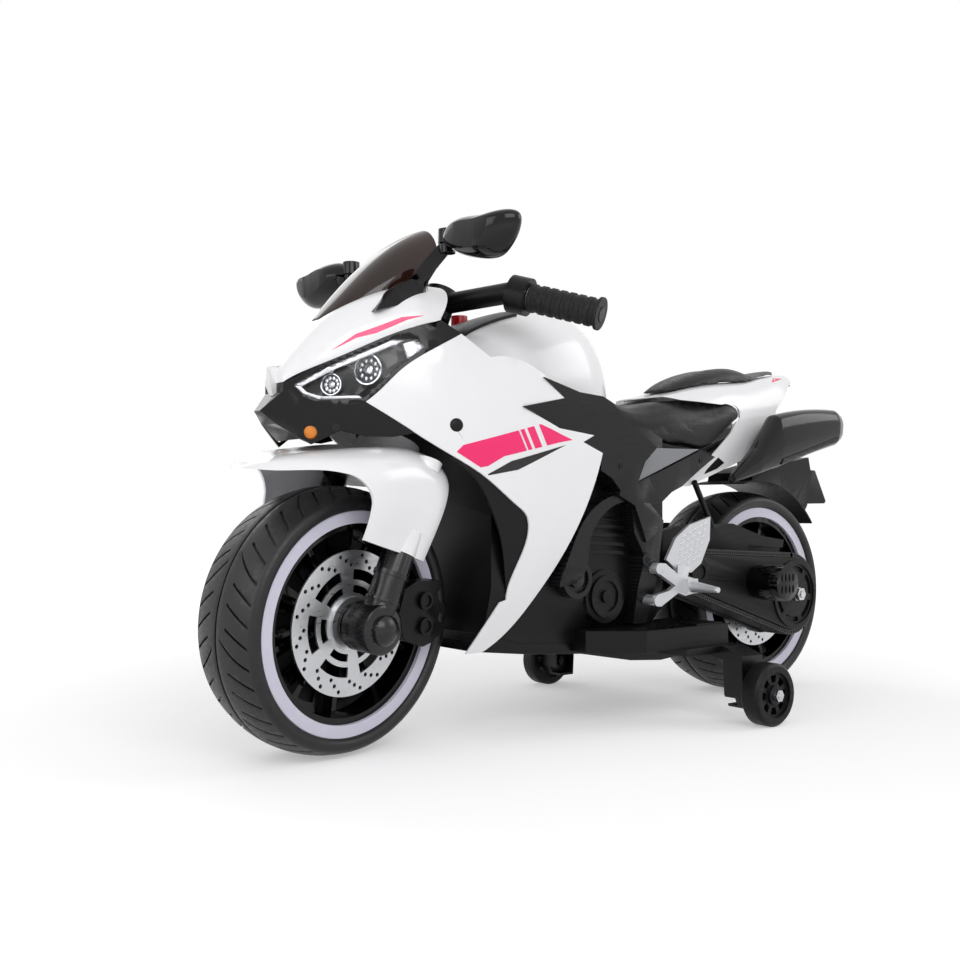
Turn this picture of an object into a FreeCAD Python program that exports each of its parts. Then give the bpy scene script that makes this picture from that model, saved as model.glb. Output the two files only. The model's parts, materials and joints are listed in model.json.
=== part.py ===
import FreeCAD, Part
import math
import os

V = FreeCAD.Vector
os.makedirs("parts", exist_ok=True)

# Millimetres. X forward, Y to the rider's left, Z up, floor at Z = 0. Outlines are drawn with the rear
# axle at X = 0; sx() and sz() carry a drawn point to the wheelbase and wheel size set here.
WHEELBASE = 810.0
WHEEL_R = 170.0
TYRE_HALF = 56.0
RIM_R = 126.0
RING_R = 142.0
RING_T = 6.0
DISC_R = 92.0
SIPES = 40
SIPE_W = 3.4
TYRE_WALL = 8.0
DISC_T = 3.0
AXLE_R = 6.0
CASTER = 22.0
STEER_AT_REST = 10.6
BODY_HALF = 138.0
SKIN = 3.0
RUN_FIT = 0.06
SEAT_GAP = 0.2
MOVE_GAP = 0.5
LEG_Y = TYRE_HALF + 28.0
LEG_R = 21.0
BRIDGE_Z = 190.0
BRIDGE_T = 20.0
FENDER_BEND = 0.36
GRIP_R = 17.5
STEM_R = 13.0
HEAD_BOTTOM = 262.0
HEAD_TOP = 424.0
CLAMP_Z = 432.0
STEM_TOP = 472.0
BAR_R = 10.0
TRAIN_R = 45.0
TRAIN_X = 228.0
TRAIN_Y = 238.0
TRAIN_W = 30.0
MODULE = 1.5
TEETH_WHEEL = 76
TEETH_IDLER_SMALL = 13
TEETH_IDLER_BIG = 40
TEETH_PINION = 12
MOTOR_X = 97.0
MOTOR_UP = 24.0
MOTOR_R = 27.0
MOTOR_LEN = 58.0
BATTERY = (150.0, 66.0, 96.0)
DRAWN_WHEELBASE = 810.0
DRAWN_WHEEL_R = 170.0


def sx(x):
    share = min(max((x - 300.0) / 100.0, 0.0), 1.0)
    return x + (WHEELBASE - DRAWN_WHEELBASE) * share


def sz(z):
    return z + WHEEL_R - DRAWN_WHEEL_R


def at(x, y, z):
    return V(sx(x), y, sz(z))


def rod(a, b, r):
    return Part.makeCylinder(r, (b - a).Length, a, b - a)


def block(x0, x1, y0, y1, z0, z1):
    return Part.makeBox(sx(x1) - sx(x0), y1 - y0, z1 - z0, at(x0, y0, z0))


def flip(shape):
    return shape.mirror(V(0, 0, 0), V(0, 1, 0))


def pair(shape):
    return Part.makeCompound([shape, flip(shape)])


def outline(items, place=at):
    edges = []
    first = None
    last = None
    for item in items:
        points = [item] if isinstance(item, tuple) else item
        points = [place(p[0], 0, p[1]) for p in points]
        if last is None:
            first = points[0]
        elif (points[0] - last).Length > 1e-6:
            edges.append(Part.makeLine(last, points[0]))
        if len(points) > 1:
            curve = Part.BSplineCurve()
            curve.interpolate(points)
            edges.append(curve.toShape())
        last = points[-1]
    if (first - last).Length > 1e-6:
        edges.append(Part.makeLine(last, first))
    return Part.Wire(edges)


def prism(items, y0, y1, place=at):
    face = Part.Face(outline(items, place))
    face.translate(V(0, y0, 0))
    return face.extrude(V(0, y1 - y0, 0))


def fair(x, z):
    run = ((x - 480.0) / 440.0) ** 2.6 if x > 480.0 else ((480.0 - x) / 900.0) ** 2
    rise = ((z - 400.0) / 460.0) ** 2
    return max(BODY_HALF * (1.0 - run) * (1.0 - rise), 5.0)


def spar(x, z):
    share = min(max((z - 150.0) / 180.0, 0.0), 1.0)
    return BODY_HALF - 26.0 + 24.0 * share * (2.0 - share)


def tail_half(x):
    return 92.0 - 0.10 * max(150.0 - x, 0.0) - 0.0006 * max(-x, 0.0) ** 2


def under(fn, depth, x0, x1, z0, z1, thick=420.0):
    grid = []
    for i in range(9):
        x = x0 + (x1 - x0) * i / 8.0
        row = []
        for j in range(9):
            z = z0 + (z1 - z0) * j / 8.0
            row.append(at(x, fn(x, z) - depth, z))
        grid.append(row)
    surface = Part.BSplineSurface()
    surface.interpolate(grid)
    return surface.toShape().extrude(V(0, -thick, 0))


def span(items):
    flat = []
    for item in items:
        flat.extend([item] if isinstance(item, tuple) else item)
    xs = [p[0] for p in flat]
    zs = [p[1] for p in flat]
    return min(xs) - 12.0, max(xs) + 12.0, min(zs) - 12.0, max(zs) + 12.0


def panel(items, fn, depth, thick):
    x0, x1, z0, z1 = span(items)
    return under(fn, depth, x0, x1, z0, z1, thick).common(prism(items, -60.0, 320.0))


def arch(x, half, z0, z1, square, place=at):
    points = []
    for i in range(9):
        a = math.pi * i / 8.0
        c = math.cos(a)
        y = half * math.copysign(abs(c) ** square, c) if abs(c) > 1e-9 else 0.0
        points.append(place(x, y, z0 + (z1 - z0) * max(math.sin(a), 0.0) ** square))
    points[-1] = place(x, -half, z0)
    curve = Part.BSplineCurve()
    curve.interpolate(points)
    return Part.Wire([curve.toShape(), Part.makeLine(points[-1], points[0])])


def hull(sections, square, place=at):
    wires = [arch(x, w, z0, z1, square, place) for x, w, z0, z1 in sections]
    return Part.makeLoft(wires, True, False)


def inset(sections, t, front, rear):
    inner = [(x, w - t, z0 - 30.0, z1 - t) for x, w, z0, z1 in sections]
    inner[0] = (inner[0][0] + front,) + inner[0][1:]
    inner[-1] = (inner[-1][0] + rear,) + inner[-1][1:]
    return inner


def ring(r0, r1, y0, y1):
    return rod(V(0, y0, 0), V(0, y1, 0), r1).cut(rod(V(0, y0 - 1, 0), V(0, y1 + 1, 0), r0))


def spun(profile):
    edges = []
    last = None
    for item in profile:
        if len(item) == 2:
            p = V(item[0], item[1], 0)
            if last is not None:
                edges.append(Part.makeLine(last, p))
            else:
                first = p
        else:
            mid = V(item[0], item[1], 0)
            p = V(item[2], item[3], 0)
            edges.append(Part.Arc(last, mid, p).toShape())
        last = p
    edges.append(Part.makeLine(last, first))
    return Part.Face(Part.Wire(edges)).revolve(V(0, 0, 0), V(0, 1, 0), 360)


def around(shape, count, start=0.0):
    out = []
    for i in range(count):
        one = shape.copy()
        one.rotate(V(0, 0, 0), V(0, 1, 0), start + 360.0 * i / count)
        out.append(one)
    return Part.makeCompound(out)


def arc_slot(r0, r1, degrees, y0, y1):
    half = math.radians(degrees / 2.0)
    points = []
    for r, a in ((r0, -half), (r1, -half), (r1, 0), (r1, half), (r0, half), (r0, 0)):
        points.append(V(r * math.cos(a), y0, r * math.sin(a)))
    outer = Part.Arc(points[1], points[2], points[3]).toShape()
    inner = Part.Arc(points[4], points[5], points[0]).toShape()
    sides = [Part.makeLine(points[0], points[1]), Part.makeLine(points[3], points[4])]
    face = Part.Face(Part.Wire([sides[0], outer, sides[1], inner]))
    return face.extrude(V(0, y1 - y0, 0))


def gear(teeth, y0, y1, phase):
    pitch = MODULE * teeth / 2.0
    step = 2.0 * math.pi / teeth
    points = []
    for i in range(teeth):
        mid = phase + step * i
        for r, share in ((pitch - 1.3 * MODULE, -0.29), (pitch + 0.8 * MODULE, -0.10),
                         (pitch + 0.8 * MODULE, 0.10), (pitch - 1.3 * MODULE, 0.29)):
            a = mid + share * step
            points.append(V(r * math.cos(a), y0, r * math.sin(a)))
    return Part.Face(Part.makePolygon(points + points[:1])).extrude(V(0, y1 - y0, 0))


# Both wheels are built about the Y axis at the origin and carried to their axles afterwards.
HUB_HALF = 52.0


def make_tyre():
    lip = RING_R + 0.3
    side = RING_T + 44.5
    profile = [(RIM_R + 0.1, -39.9), (RIM_R + 0.1, 39.9), (lip, 39.9), (lip, side)]
    profile += [(WHEEL_R - 18.0, TYRE_HALF, WHEEL_R - 9.0, TYRE_HALF - 8.0)]
    profile += [(WHEEL_R, 0.0, WHEEL_R - 9.0, 8.0 - TYRE_HALF)]
    profile += [(WHEEL_R - 18.0, -TYRE_HALF, lip, -side), (lip, -39.9)]
    inner = WHEEL_R - TYRE_WALL
    hollow = [(RIM_R - 2.0, -33.0), (RIM_R - 2.0, 33.0), (lip, 33.0), (lip + 5.0, side - 7.0)]
    hollow += [(inner - 7.0, side - 9.0), (inner, 0.0, inner - 7.0, 9.0 - side)]
    hollow += [(lip + 5.0, 7.0 - side), (lip, -33.0)]
    tyre = spun(profile).cut(spun(hollow))
    sipes = []
    for reach, hook, turn in ((8.0, 30.0, 0.0), (16.0, 17.0, 90.0), (14.0, 19.0, 180.0),
                              (16.0, 17.0, 270.0)):
        inside = [V(0, reach, hook), V(0, 30, 8), V(0, TYRE_HALF - 7.0, -4)]
        outside = [q + V(0, 0.5, SIPE_W) for q in inside]
        edges = [Part.Arc(*inside).toShape(), Part.makeLine(inside[2], outside[2])]
        edges += [Part.Arc(*reversed(outside)).toShape(), Part.makeLine(outside[0], inside[0])]
        sipe = Part.Face(Part.Wire(edges)).extrude(V(16, 0, 0))
        sipe.rotate(V(0, 0, 0), V(0, 0, 1), 10.5)
        sipe.translate(V(WHEEL_R - 2.0, 0, 0))
        sipes.append(around(sipe, SIPES // 4, turn / (SIPES // 4)))
    for one in sipes:
        tyre = tyre.cut(one)
        other = flip(one)
        other.rotate(V(0, 0, 0), V(0, 1, 0), 180.0 / SIPES)
        tyre = tyre.cut(other)
    return tyre.cut(ring(WHEEL_R - 1.6, WHEEL_R + 2.0, -1.6, 1.6))


def make_rim():
    rim = ring(RIM_R - 8.0, RIM_R, -44.0, 44.0)
    for y0, y1 in ((-44.0, -40.0), (40.0, 44.0)):
        rim = rim.fuse(ring(RIM_R - 8.0, RING_R, y0, y1))
    web = rod(V(0, -8, 0), V(0, 8, 0), RIM_R - 4.0)
    web = web.cut(around(arc_slot(62.0, 106.0, 14.0, -20.0, 20.0), 10, 90.0))
    for y0, y1 in ((-26.0, -7.0), (7.0, 26.0)):
        rib = Part.makeBox(RIM_R - 30.0, y1 - y0, 7.0, V(26.0, y0, -3.5))
        web = web.fuse([r for r in around(rib, 10, 108.0).Solids])
    hub = rod(V(0, -39, 0), V(0, 39, 0), 34.0).fuse(rod(V(0, -HUB_HALF, 0), V(0, HUB_HALF, 0), 26.0))
    rim = rim.fuse([web, hub])
    return rim.cut(rod(V(0, -90, 0), V(0, 90, 0), AXLE_R + RUN_FIT)).removeSplitter()


def make_disc():
    disc = ring(26.1, DISC_R, 39.0, 39.0 + DISC_T).fuse(ring(26.1, 34.0, 39.0, 47.0)).removeSplitter()
    cuts = [around(arc_slot(55.0, 68.0, 42.0, 30.0, 50.0), 6, 30.0)]
    cuts.append(around(arc_slot(38.5, 48.0, 38.0, 30.0, 50.0), 6, 30.0))
    for r, a in ((73.5, 0.0), (79.5, 6.0), (86.0, 12.0), (73.5, 24.0), (79.5, 30.0), (86.0, 36.0)):
        cuts.append(around(rod(V(r, 30, 0), V(r, 50, 0), 2.6), 8, a))
    return disc.cut(cuts)


tyre = make_tyre()
rim = make_rim()
light_rings = pair(ring(RIM_R, RING_R, 44.0, 44.0 + RING_T))
disc = make_disc()
front_axle_at = V(WHEELBASE, 0, WHEEL_R)
rear_axle_at = V(0, 0, WHEEL_R)
steer_axis = V(-math.sin(math.radians(CASTER)), 0, math.cos(math.radians(CASTER)))


def steer(shape):
    out = shape.copy()
    out.rotate(V(0, 0, 0), V(0, 1, 0), -CASTER)
    out.translate(front_axle_at)
    out.rotate(front_axle_at, steer_axis, STEER_AT_REST)
    return out


def straight(shape):
    out = shape.copy()
    out.rotate(V(0, 0, 0), V(0, 1, 0), -CASTER)
    out.translate(front_axle_at)
    return out


def rear(shape):
    out = shape.copy()
    out.translate(rear_axle_at)
    return out


# The fork, fender, brakes and bars turn with the stem. They are drawn with the steering axis upright.
BOSS_R = 31.0
CAP_R = 19.0
CAP_RISE = 9.0
leg = rod(V(0, 60, 0), V(0, LEG_Y + 18, 0), BOSS_R)
leg = leg.fuse(Part.makeCone(BOSS_R, BOSS_R - 4.0, 2.0, V(0, LEG_Y + 18, 0), V(0, 1, 0)))
leg = leg.fuse(rod(V(0, LEG_Y + 18, 0), V(0, LEG_Y + 25, 0), CAP_R))
dome_r = (CAP_R ** 2 + CAP_RISE ** 2) / (2.0 * CAP_RISE)
dome = Part.makeSphere(dome_r, V(0, LEG_Y + 25 + CAP_RISE - dome_r, 0))
dome = dome.common(rod(V(0, LEG_Y + 24, 0), V(0, LEG_Y + 40, 0), CAP_R))
tube = rod(V(0, LEG_Y, 0), V(0, LEG_Y, 128), LEG_R)
tube = tube.fuse(rod(V(0, LEG_Y, 120), V(0, LEG_Y, BRIDGE_Z), LEG_R - 5.0))
for low, high in ((33.0, 37.0), (66.0, 72.0)):
    tube = tube.fuse(rod(V(0, LEG_Y, low), V(0, LEG_Y, high), LEG_R + 1.6))
leg = leg.fuse([dome, tube]).cut(rod(V(0, 50, 0), V(0, LEG_Y + 22, 0), AXLE_R)).removeSplitter()
axle = rod(V(0, -LEG_Y - 22, 0), V(0, LEG_Y + 22, 0), AXLE_R)
axle = axle.fuse(pair(ring(AXLE_R, 12.0, HUB_HALF + MOVE_GAP, 60.0)).Solids).removeSplitter()

bridge = Part.makeBox(52, 2 * LEG_Y + 16, BRIDGE_T, V(-26, -LEG_Y - 8, BRIDGE_Z))
for sx_side in (-1, 1):
    for sy_side in (-1, 1):
        corner = Part.makeBox(40, 40, 60, V(-20, -20, -30))
        corner.rotate(V(0, 0, 0), V(0, 0, 1), 45)
        corner.translate(V(sx_side * 38.0, sy_side * (LEG_Y + 14), BRIDGE_Z))
        bridge = bridge.cut(corner)
stem = bridge.fuse(rod(V(0, 0, BRIDGE_Z), V(0, 0, STEM_TOP), STEM_R))
spacer_top = HEAD_BOTTOM - MOVE_GAP
stem = stem.fuse(rod(V(0, 0, BRIDGE_Z + BRIDGE_T), V(0, 0, spacer_top), STEM_R + 7)).removeSplitter()

# One moulding makes the front fender: a beak over the tyre, and two guards that run down over the fork legs.
guard_in = TYRE_HALF + 2.2
crown = WHEEL_R + 66.0
fender_sections = [(-34, LEG_Y + 22, 50, crown - 5), (0, LEG_Y + 26, 50, crown - 2),
                   (44, LEG_Y + 27, 50, crown - 15)]
fender_sections += [(82, LEG_Y + 26, 50, crown - 34), (114, LEG_Y + 18, 50, crown - 51)]
fender_sections += [(144, LEG_Y + 4, 50, crown - 67), (172, LEG_Y - 14, 50, crown - 84),
                    (194, 44, 50, crown - 103)]
fender_full = hull(fender_sections, FENDER_BEND, V)
fender_inner = hull(inset(fender_sections, SKIN, -2.0, -SKIN), FENDER_BEND, V)
fender_side = [[(197, 124), (178, 133), (150, 146), (128, 152)],
               [(128, 152), (109, 152), (94, 144), (85, 132)]]
fender_side += [[(85, 132), (80, 110), (78, 88)], (40, 92), (-1, 97), (-36, 100), (-36, 250), (210, 250),
                (210, 124)]
side_cut = prism(fender_side, -150, 150, V)
fender = fender_full.cut(fender_inner).common(side_cut)
shelf_z = BRIDGE_Z + BRIDGE_T
shelf = Part.makeBox(110, 2 * LEG_Y + 60, SKIN, V(-34, -LEG_Y - 30, shelf_z)).common(fender_full)
neck = Part.makeCone(50.0, 40.0, HEAD_BOTTOM - 12.0 - shelf_z, V(0, 0, shelf_z))
neck = neck.fuse(pair(rod(V(0, LEG_Y, shelf_z), V(0, LEG_Y, crown - 12.0), 17.0)).Solids)
neck = neck.cut(Part.makeCone(47.0, 36.0, HEAD_BOTTOM - 16.0 - shelf_z, V(0, 0, shelf_z)))
fender = fender.fuse([shelf] + neck.Solids).removeSplitter()
fender = fender.cut(rod(V(0, 0, 150), V(0, 0, 320), STEM_R + 7.0))
fender = fender.cut(rod(V(0, -66, 0), V(0, 66, 0), WHEEL_R + 8.0))
rib = Part.makeBox(64, 2 * LEG_Y + 60, 5.0, V(-30, -LEG_Y - 30, 129)).common(fender_full)
rib = rib.cut(rod(V(0, -66, 0), V(0, 66, 0), WHEEL_R + 40.0))
rib = rib.cut(Part.makeBox(200, 2 * guard_in + 8.0, 60, V(-100, -guard_in - 4.0, 100)))
fender = fender.fuse(rib.Solids).cut(pair(rod(V(0, LEG_Y, 80), V(0, LEG_Y, 189), LEG_R - 5.0)))
fender = max(fender.cut(stem).cut(pair(leg)).Solids, key=lambda one: one.Volume)

caliper_items = [(-36, 62), (-52, 78), (-90, 92), (-98, 86), (-92, 72), (-114, 64), (-118, 58), (-108, 52),
                 (-110, 44)]
caliper_items += [(-124, 41), (-126, 34), (-112, 14), (-98, 4), (-66, 2), (-40, 20)]
caliper = Part.Face(Part.makePolygon([V(x, 53.0, z) for x, z in caliper_items + caliper_items[:1]]))
caliper = caliper.extrude(V(0, 26.0, 0))
for px, pz in ((-73.0, 59.0), (-87.0, 29.0)):
    caliper = caliper.fuse(rod(V(px, 78, pz), V(px, 86, pz), 11.5))
    caliper = caliper.cut(rod(V(px, 83, pz), V(px, 90, pz), 8.0))
caliper = caliper.fuse(Part.makeBox(34, 10, 40, V(-92, 44.5, 20)))
caliper = caliper.fuse(Part.makeBox(36, 12, 26, V(-44, 64, 28)))
caliper = caliper.cut(leg).removeSplitter()

bar_in = V(-8, 118, 470)
bar_out = V(-58, 240, 459)
arm_root = V(0, 0, 454)


def toward(a, b, d):
    return a + (b - a) * (d / (b - a).Length)


bar_half = rod(arm_root, bar_in, 14.0).fuse(rod(bar_in, bar_out, BAR_R))
bar_half = bar_half.fuse(Part.makeSphere(14.0, bar_in))
clamp = rod(V(0, 0, CLAMP_Z), V(0, 0, STEM_TOP + 4), 23.0)
handlebar = clamp.fuse([bar_half, flip(bar_half)])
handlebar = handlebar.cut(rod(V(0, 0, CLAMP_Z - 1), V(0, 0, STEM_TOP), STEM_R)).removeSplitter()

pod = rod(toward(bar_in, bar_out, 4), toward(bar_in, bar_out, 30), 25.0)
pod = pod.cut(handlebar)
pod_mid = toward(bar_in, bar_out, 17)
press = V(1, 0, 0.15)
press.normalize()
horn_well = rod(pod_mid - press * 40, pod_mid - press * 17, 6.0)
pod_left = pod.cut(horn_well)
horn = rod(pod_mid - press * 29, pod_mid - press * 20.5, 6.0 - MOVE_GAP)
grip_a = toward(bar_in, bar_out, 33)
grip_b = toward(bar_in, bar_out, 131.5)
grip = rod(grip_a, toward(grip_a, grip_b, 6), GRIP_R + 1.5).fuse(rod(grip_a, grip_b, GRIP_R))
grip = grip.fuse(rod(toward(grip_a, grip_b, 94), grip_b, GRIP_R + 4.0))
for step in range(14, 92, 13):
    band = rod(toward(grip_a, grip_b, step), toward(grip_a, grip_b, step + 7), GRIP_R + 1.5)
    grip = grip.fuse(band)
grip = grip.cut(handlebar).removeSplitter()

# The nose: cowl, screen, headlights, chin and indicators.
cowl_sections = [(889, 24, 465, 478), (862, fair(862, 482), 482, 518), (820, fair(820, 503), 503, 560)]
cowl_sections += [(770, fair(770, 528), 528, 590), (720, fair(720, 546), 546, 604), (664, 98, 558, 606)]
cowl_full = hull(cowl_sections, 0.80)
cowl_inner = hull(inset(cowl_sections, SKIN, -6.0, -4.0), 0.80)
cowl_rear = prism([(707, 552), (680, 601), (672, 640), (600, 640), (600, 500), (702, 500)], -200, 200)
fin = prism([(880, 488), (898, 485), (897, 462), (888, 434), (877, 434), (882, 458)], -7, 7)
cowl = cowl_full.cut(cowl_inner).cut(cowl_rear).fuse(fin).removeSplitter()
screen_sections = [(832, 16, 530, 552), (800, 36, 545, 588), (760, 46, 560, 629), (720, 52, 570, 662)]
screen_sections += [(676, 56, 600, 687)]
screen_full = hull(screen_sections, 0.72)
screen_inner = hull(inset(screen_sections, 2.5, -3.0, -3.0), 0.72)
screen_under = prism([(706, 560), (692, 612), (681, 642), (664, 690), (600, 690), (600, 500), (700, 500)],
                     -90, 90)
screen = screen_full.cut(screen_inner).cut(screen_under)
screen = screen.cut(cowl_full)

lamp_edge = [(803, 442), (781, 463), (763, 482), (725, 509), (681, 534)]
lamp_low = [(889, 454), (872, 446), (852, 439), (803, 442)]
housing_items = [(889, 464), (841, 492), (761, 532), (707, 550), (681, 534), lamp_edge[::-1],
                 lamp_low[::-1]]
lens_items = [(879, 462), (841, 487), (769, 522), (740, 524), (731, 513), (768, 484), (785, 466)]
lens_items += [(806, 446), (851, 443), (870, 450)]
housing = panel(housing_items, fair, 0.0, 30.0).cut(cowl_full).cut(fin)
housing = housing.cut(panel(lens_items, fair, -2.0, 28.0))
housing = housing.common(block(600, 950, 2.0, 200, 400, 600))
lens = panel(lens_items, fair, 0.0, 2.0).common(block(600, 950, 2.0, 200, 400, 600)).cut(cowl_full)
lamp_small = rod(at(812, 28, 464), at(828, 40, 464), 11.0)
lamp_big = rod(at(770, 50, 484), at(790, 61, 484), 16.0)
lamp_room = under(fair, 3.0, 700, 900, 420, 580).common(prism(lens_items, -10, 200))
lamps = [lamp_small.common(lamp_room).cut(housing), lamp_big.common(lamp_room).cut(housing)]

fair_front = [(741, 402), (698, 377), (656, 353), (601, 313), (586, 300), (582, 287), (588, 251),
              (603, 190)]
fair_items = [lamp_edge, (642, 506), [(642, 506), (613, 509), (558, 488), (526, 459)], (598, 444),
              (537, 418)]
fair_items += [(473, 411), (494, 401), (457, 387)]
fair_items += [[(457, 387), (488, 304), (528, 232), (555, 193), (589, 150), (625, 121)], (651, 120),
               (613, 187)]
fair_items += [fair_front[::-1], (803, 442)]
fairing = panel(fair_items, fair, 0.0, SKIN).cut(cowl_full)
fairing = fairing.cut(rod(at(694, 60, 416), at(694, 200, 416), 8.0))

chin_items = [(912, 430), (889, 454), lamp_low, (803, 442), (756, 411), (748, 404), (772, 399), (800, 399)]
chin_items += [(830, 406), (860, 389), (896, 414)]
chin = panel(chin_items, fair, 0.3, SKIN).cut(housing).cut(fairing)
nose_items = [(912, 430), (889, 454), (872, 445), (868, 396), (896, 414)]
nose = under(fair, 0.3, 850, 925, 380, 470).common(prism(nose_items, -1, 60))
nose = nose.common(block(850, 930, 0, 60, 380, 470))
chin = chin.fuse(nose).cut(housing).cut(fin)
indicator = rod(at(852, 22, 409), at(860, 40, 404), 8.0)
indicator_skin = under(fair, -3.0, 840, 900, 380, 420)
indicator = indicator.common(indicator_skin)
chin = chin.cut(rod(at(852, 22, 409), at(864, 49, 401.5), 8.1))
chin = chin.fuse(flip(chin)).removeSplitter()

duct_front = [(700, 374), (662, 345), (640, 310), (622, 270), (612, 235), (600, 190)]
duct_items = [duct_front, (588, 190), (570, 250), (564, 290), (590, 326), (650, 366), (690, 390)]
duct = panel(duct_items, fair, SKIN + SEAT_GAP, SKIN)

# The middle: frame tubes, casing, belly, tank, dash, spars and panels.
casing_top = [(640, 440), (374, 440), (336, 428), (293, 413), (250, 407), (185, 403), (150, 394)]
casing_items = [(628, 145), (628, 300), (612, 345), (612, 405)] + casing_top
casing_items += [(132, 384), (150, 374), (215, 354), (262, 336), (300, 300), (300, 150), (330, 112),
                 (560, 128)]
room = under(fair, SKIN + SEAT_GAP, 100, 700, 60, 470)
room = room.common(block(100, 700, 0, 104, 60, 470))
casing_half = prism(casing_items, 0, 150).common(room).cut(block(100, 300, 84, 160, 300, 470))
cavity_items = [(621, 151), (621, 300), (605, 342), (605, 402), (606, 435), (378, 435), (340, 422),
                (306, 409), (306, 152)]
cavity_items += [(334, 118), (560, 134)]
cavity_room = under(fair, SKIN + 5.0, 100, 700, 60, 470).common(block(100, 700, -1, 99, 60, 470))
casing_half = casing_half.cut(prism(cavity_items, -1, 150).common(cavity_room))
hump_items = [(299, 404), (250, 401), (185, 397), (160, 389), (160, 383), (216, 361), (264, 343),
              (299, 318)]
casing_half = casing_half.cut(prism(hump_items, -1, 79))
casing = casing_half.fuse(flip(casing_half)).removeSplitter()

belly_items = [(640, 122), (545, 111), (442, 103), (330, 83), (260, 77), (195, 82), (195, 100),
               (300, 111.8)]
belly_items += [(330, 111.8), (560, 127.8), (628, 144.8)]
belly_half = prism(belly_items, 0, 150).common(under(fair, SKIN + SEAT_GAP, 180, 660, 60, 150))
belly_half = belly_half.common(block(180, 660, 0, 88, 60, 150))
belly_half = belly_half.cut(prism([(560, 118), (440, 109), (330, 89), (262, 84), (204, 88), (204, 96),
                                   (300, 106),
                                   (330, 106), (560, 122)], -1, 58))
belly = belly_half.fuse(flip(belly_half)).removeSplitter()

tank_sections = [(634, 97, 440.1, 548), (600, 104, 440.1, 566), (550, 108, 440.1, 584),
                 (490, 106, 440.1, 598)]
tank_sections += [(430, 96, 440.1, 590), (388, 76, 440.1, 552), (376, 62, 440.1, 520)]
tank_full = hull(tank_sections, 0.72)
tank_inner = hull(inset(tank_sections, SKIN, -SKIN, SKIN), 0.72)
tank = tank_full.cut(tank_inner)
dash_sections = [(x, w + 4, z0, z1 + 4) for x, w, z0, z1 in tank_sections]
dash = hull(dash_sections, 0.72).common(block(540, 634, -52, 52, 480, 640)).cut(tank_full)
button_x, button_y = 575.0, -36.0
well = rod(at(button_x, button_y, 540), at(button_x, button_y, 620), 12.0 + MOVE_GAP)
dash = dash.cut(well)
tank = tank.cut(well)
cup_outer = rod(at(button_x, button_y, 548), at(button_x, button_y, 600), 15.0)
cup_inner = rod(at(button_x, button_y, 552), at(button_x, button_y, 601), 12.0 + MOVE_GAP)
dash = dash.fuse(cup_outer.cut(cup_inner).common(tank_inner)).removeSplitter()
tank = tank.cut(cup_outer)
dash = dash.fuse(cup_outer.cut(cup_inner).common(tank_full)).removeSplitter()
power = rod(at(button_x, button_y, 557), at(button_x, button_y, 588), 12.0)

trim_items = [(598, 444), (526, 459), (562, 485), (498, 469), (454, 466), (437, 459), (412, 438),
              (345, 399)]
trim_items += [(371, 377), (385, 348), (372, 315), (350, 301), (340, 279), (365, 262), (392, 315),
               (408, 322)]
trim_items += [(423, 329), (421, 336), (438, 353), (459, 363), (457, 387), (494, 401), (473, 411),
               (537, 418)]
arm_items = [[(416, 330), (459, 315), (493, 281), (507, 254), (520, 227), (526, 204)], (500, 208)]
arm_items += [[(500, 208), (476, 239), (472, 267), (448, 301), (404, 320)]]
low_items = [(392, 322), (353, 318), (324, 293), (333, 242), (337, 197), (343, 144), (371, 144), (373, 199)]
low_items += [(365, 243), (385, 276)]
sub_items = [(385, 348), (372, 315), (334, 315), (312, 318), (286, 335), (261, 344), (182, 391), (215, 400)]
sub_items += [(359, 349)]
spar_room = under(spar, 0.0, 150, 640, 120, 510)
cover = prism(trim_items, 60, 200).common(spar_room)
sub_room = under(lambda x, z: 112.0 - 0.05 * max(330.0 - x, 0.0), 0.0, 150, 640, 120, 510)
cover = cover.fuse([prism(arm_items, 60, 128).common(spar_room),
                    prism(low_items, 60, 128).common(spar_room),
                    prism(sub_items, 60, 200).common(sub_room)])
boss = rod(at(492, 80, 214), at(492, 124, 214), 27.0).cut(rod(at(492, 119, 214), at(492, 130, 214), 20.0))
boss = boss.fuse(rod(at(492, 80, 214), at(492, 124, 214), 12.0))
cover = cover.fuse([boss, rod(at(359, 100, 237), at(359, 130, 237), 11.0)])
cover = cover.common(block(100, 700, 90, 200, 100, 520)).cut(casing_half).cut(fairing).removeSplitter()
cover = cover.cut(tank_full)
grey_items = [(357, 350), (347, 375), (320, 400), (222, 401.5)]
grey = prism(grey_items, 90, 109).cut(casing_half).cut(cover)

head = rod(V(0, 0, HEAD_BOTTOM), V(0, 0, HEAD_TOP), 20.0)
head = straight(head.cut(rod(V(0, 0, HEAD_BOTTOM - 1), V(0, 0, HEAD_TOP + 1), STEM_R + RUN_FIT)))
head_bore = straight(rod(V(0, 0, BRIDGE_Z), V(0, 0, STEM_TOP), STEM_R + RUN_FIT))
spine_ends = at(660, 0, 490), at(590, 0, 436)
SPINE_R = 15.0
tank = tank.cut(rod(*spine_ends, SPINE_R + MOVE_GAP))
tubes = [rod(*spine_ends, SPINE_R), rod(at(594, 0, 436), at(380, 0, 414), SPINE_R)]
tubes += [rod(at(594, 0, 440), at(562, 0, 150), 12.0)]
tubes += [rod(at(470, -89.8, 404), at(470, 89.8, 404), 9.0)]
tubes += [rod(at(390, 0, 424), at(160, 0, 372), 12.0), rod(at(340, 0, 232), at(340, 0, 424), 13.0)]
tubes += [Part.makeSphere(16.5, at(592, 0, 437)), Part.makeSphere(16.5, at(385, 0, 416))]
stay = [rod(at(672, 0, 506), at(752, 0, 524), 8.0), rod(at(752, -96, 524), at(752, 96, 524), 6.0)]
stay += [rod(at(712, 0, 515), at(712, 0, 598), 6.0), rod(at(748, 0, 523), at(862, 0, 450), 6.0)]
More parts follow.
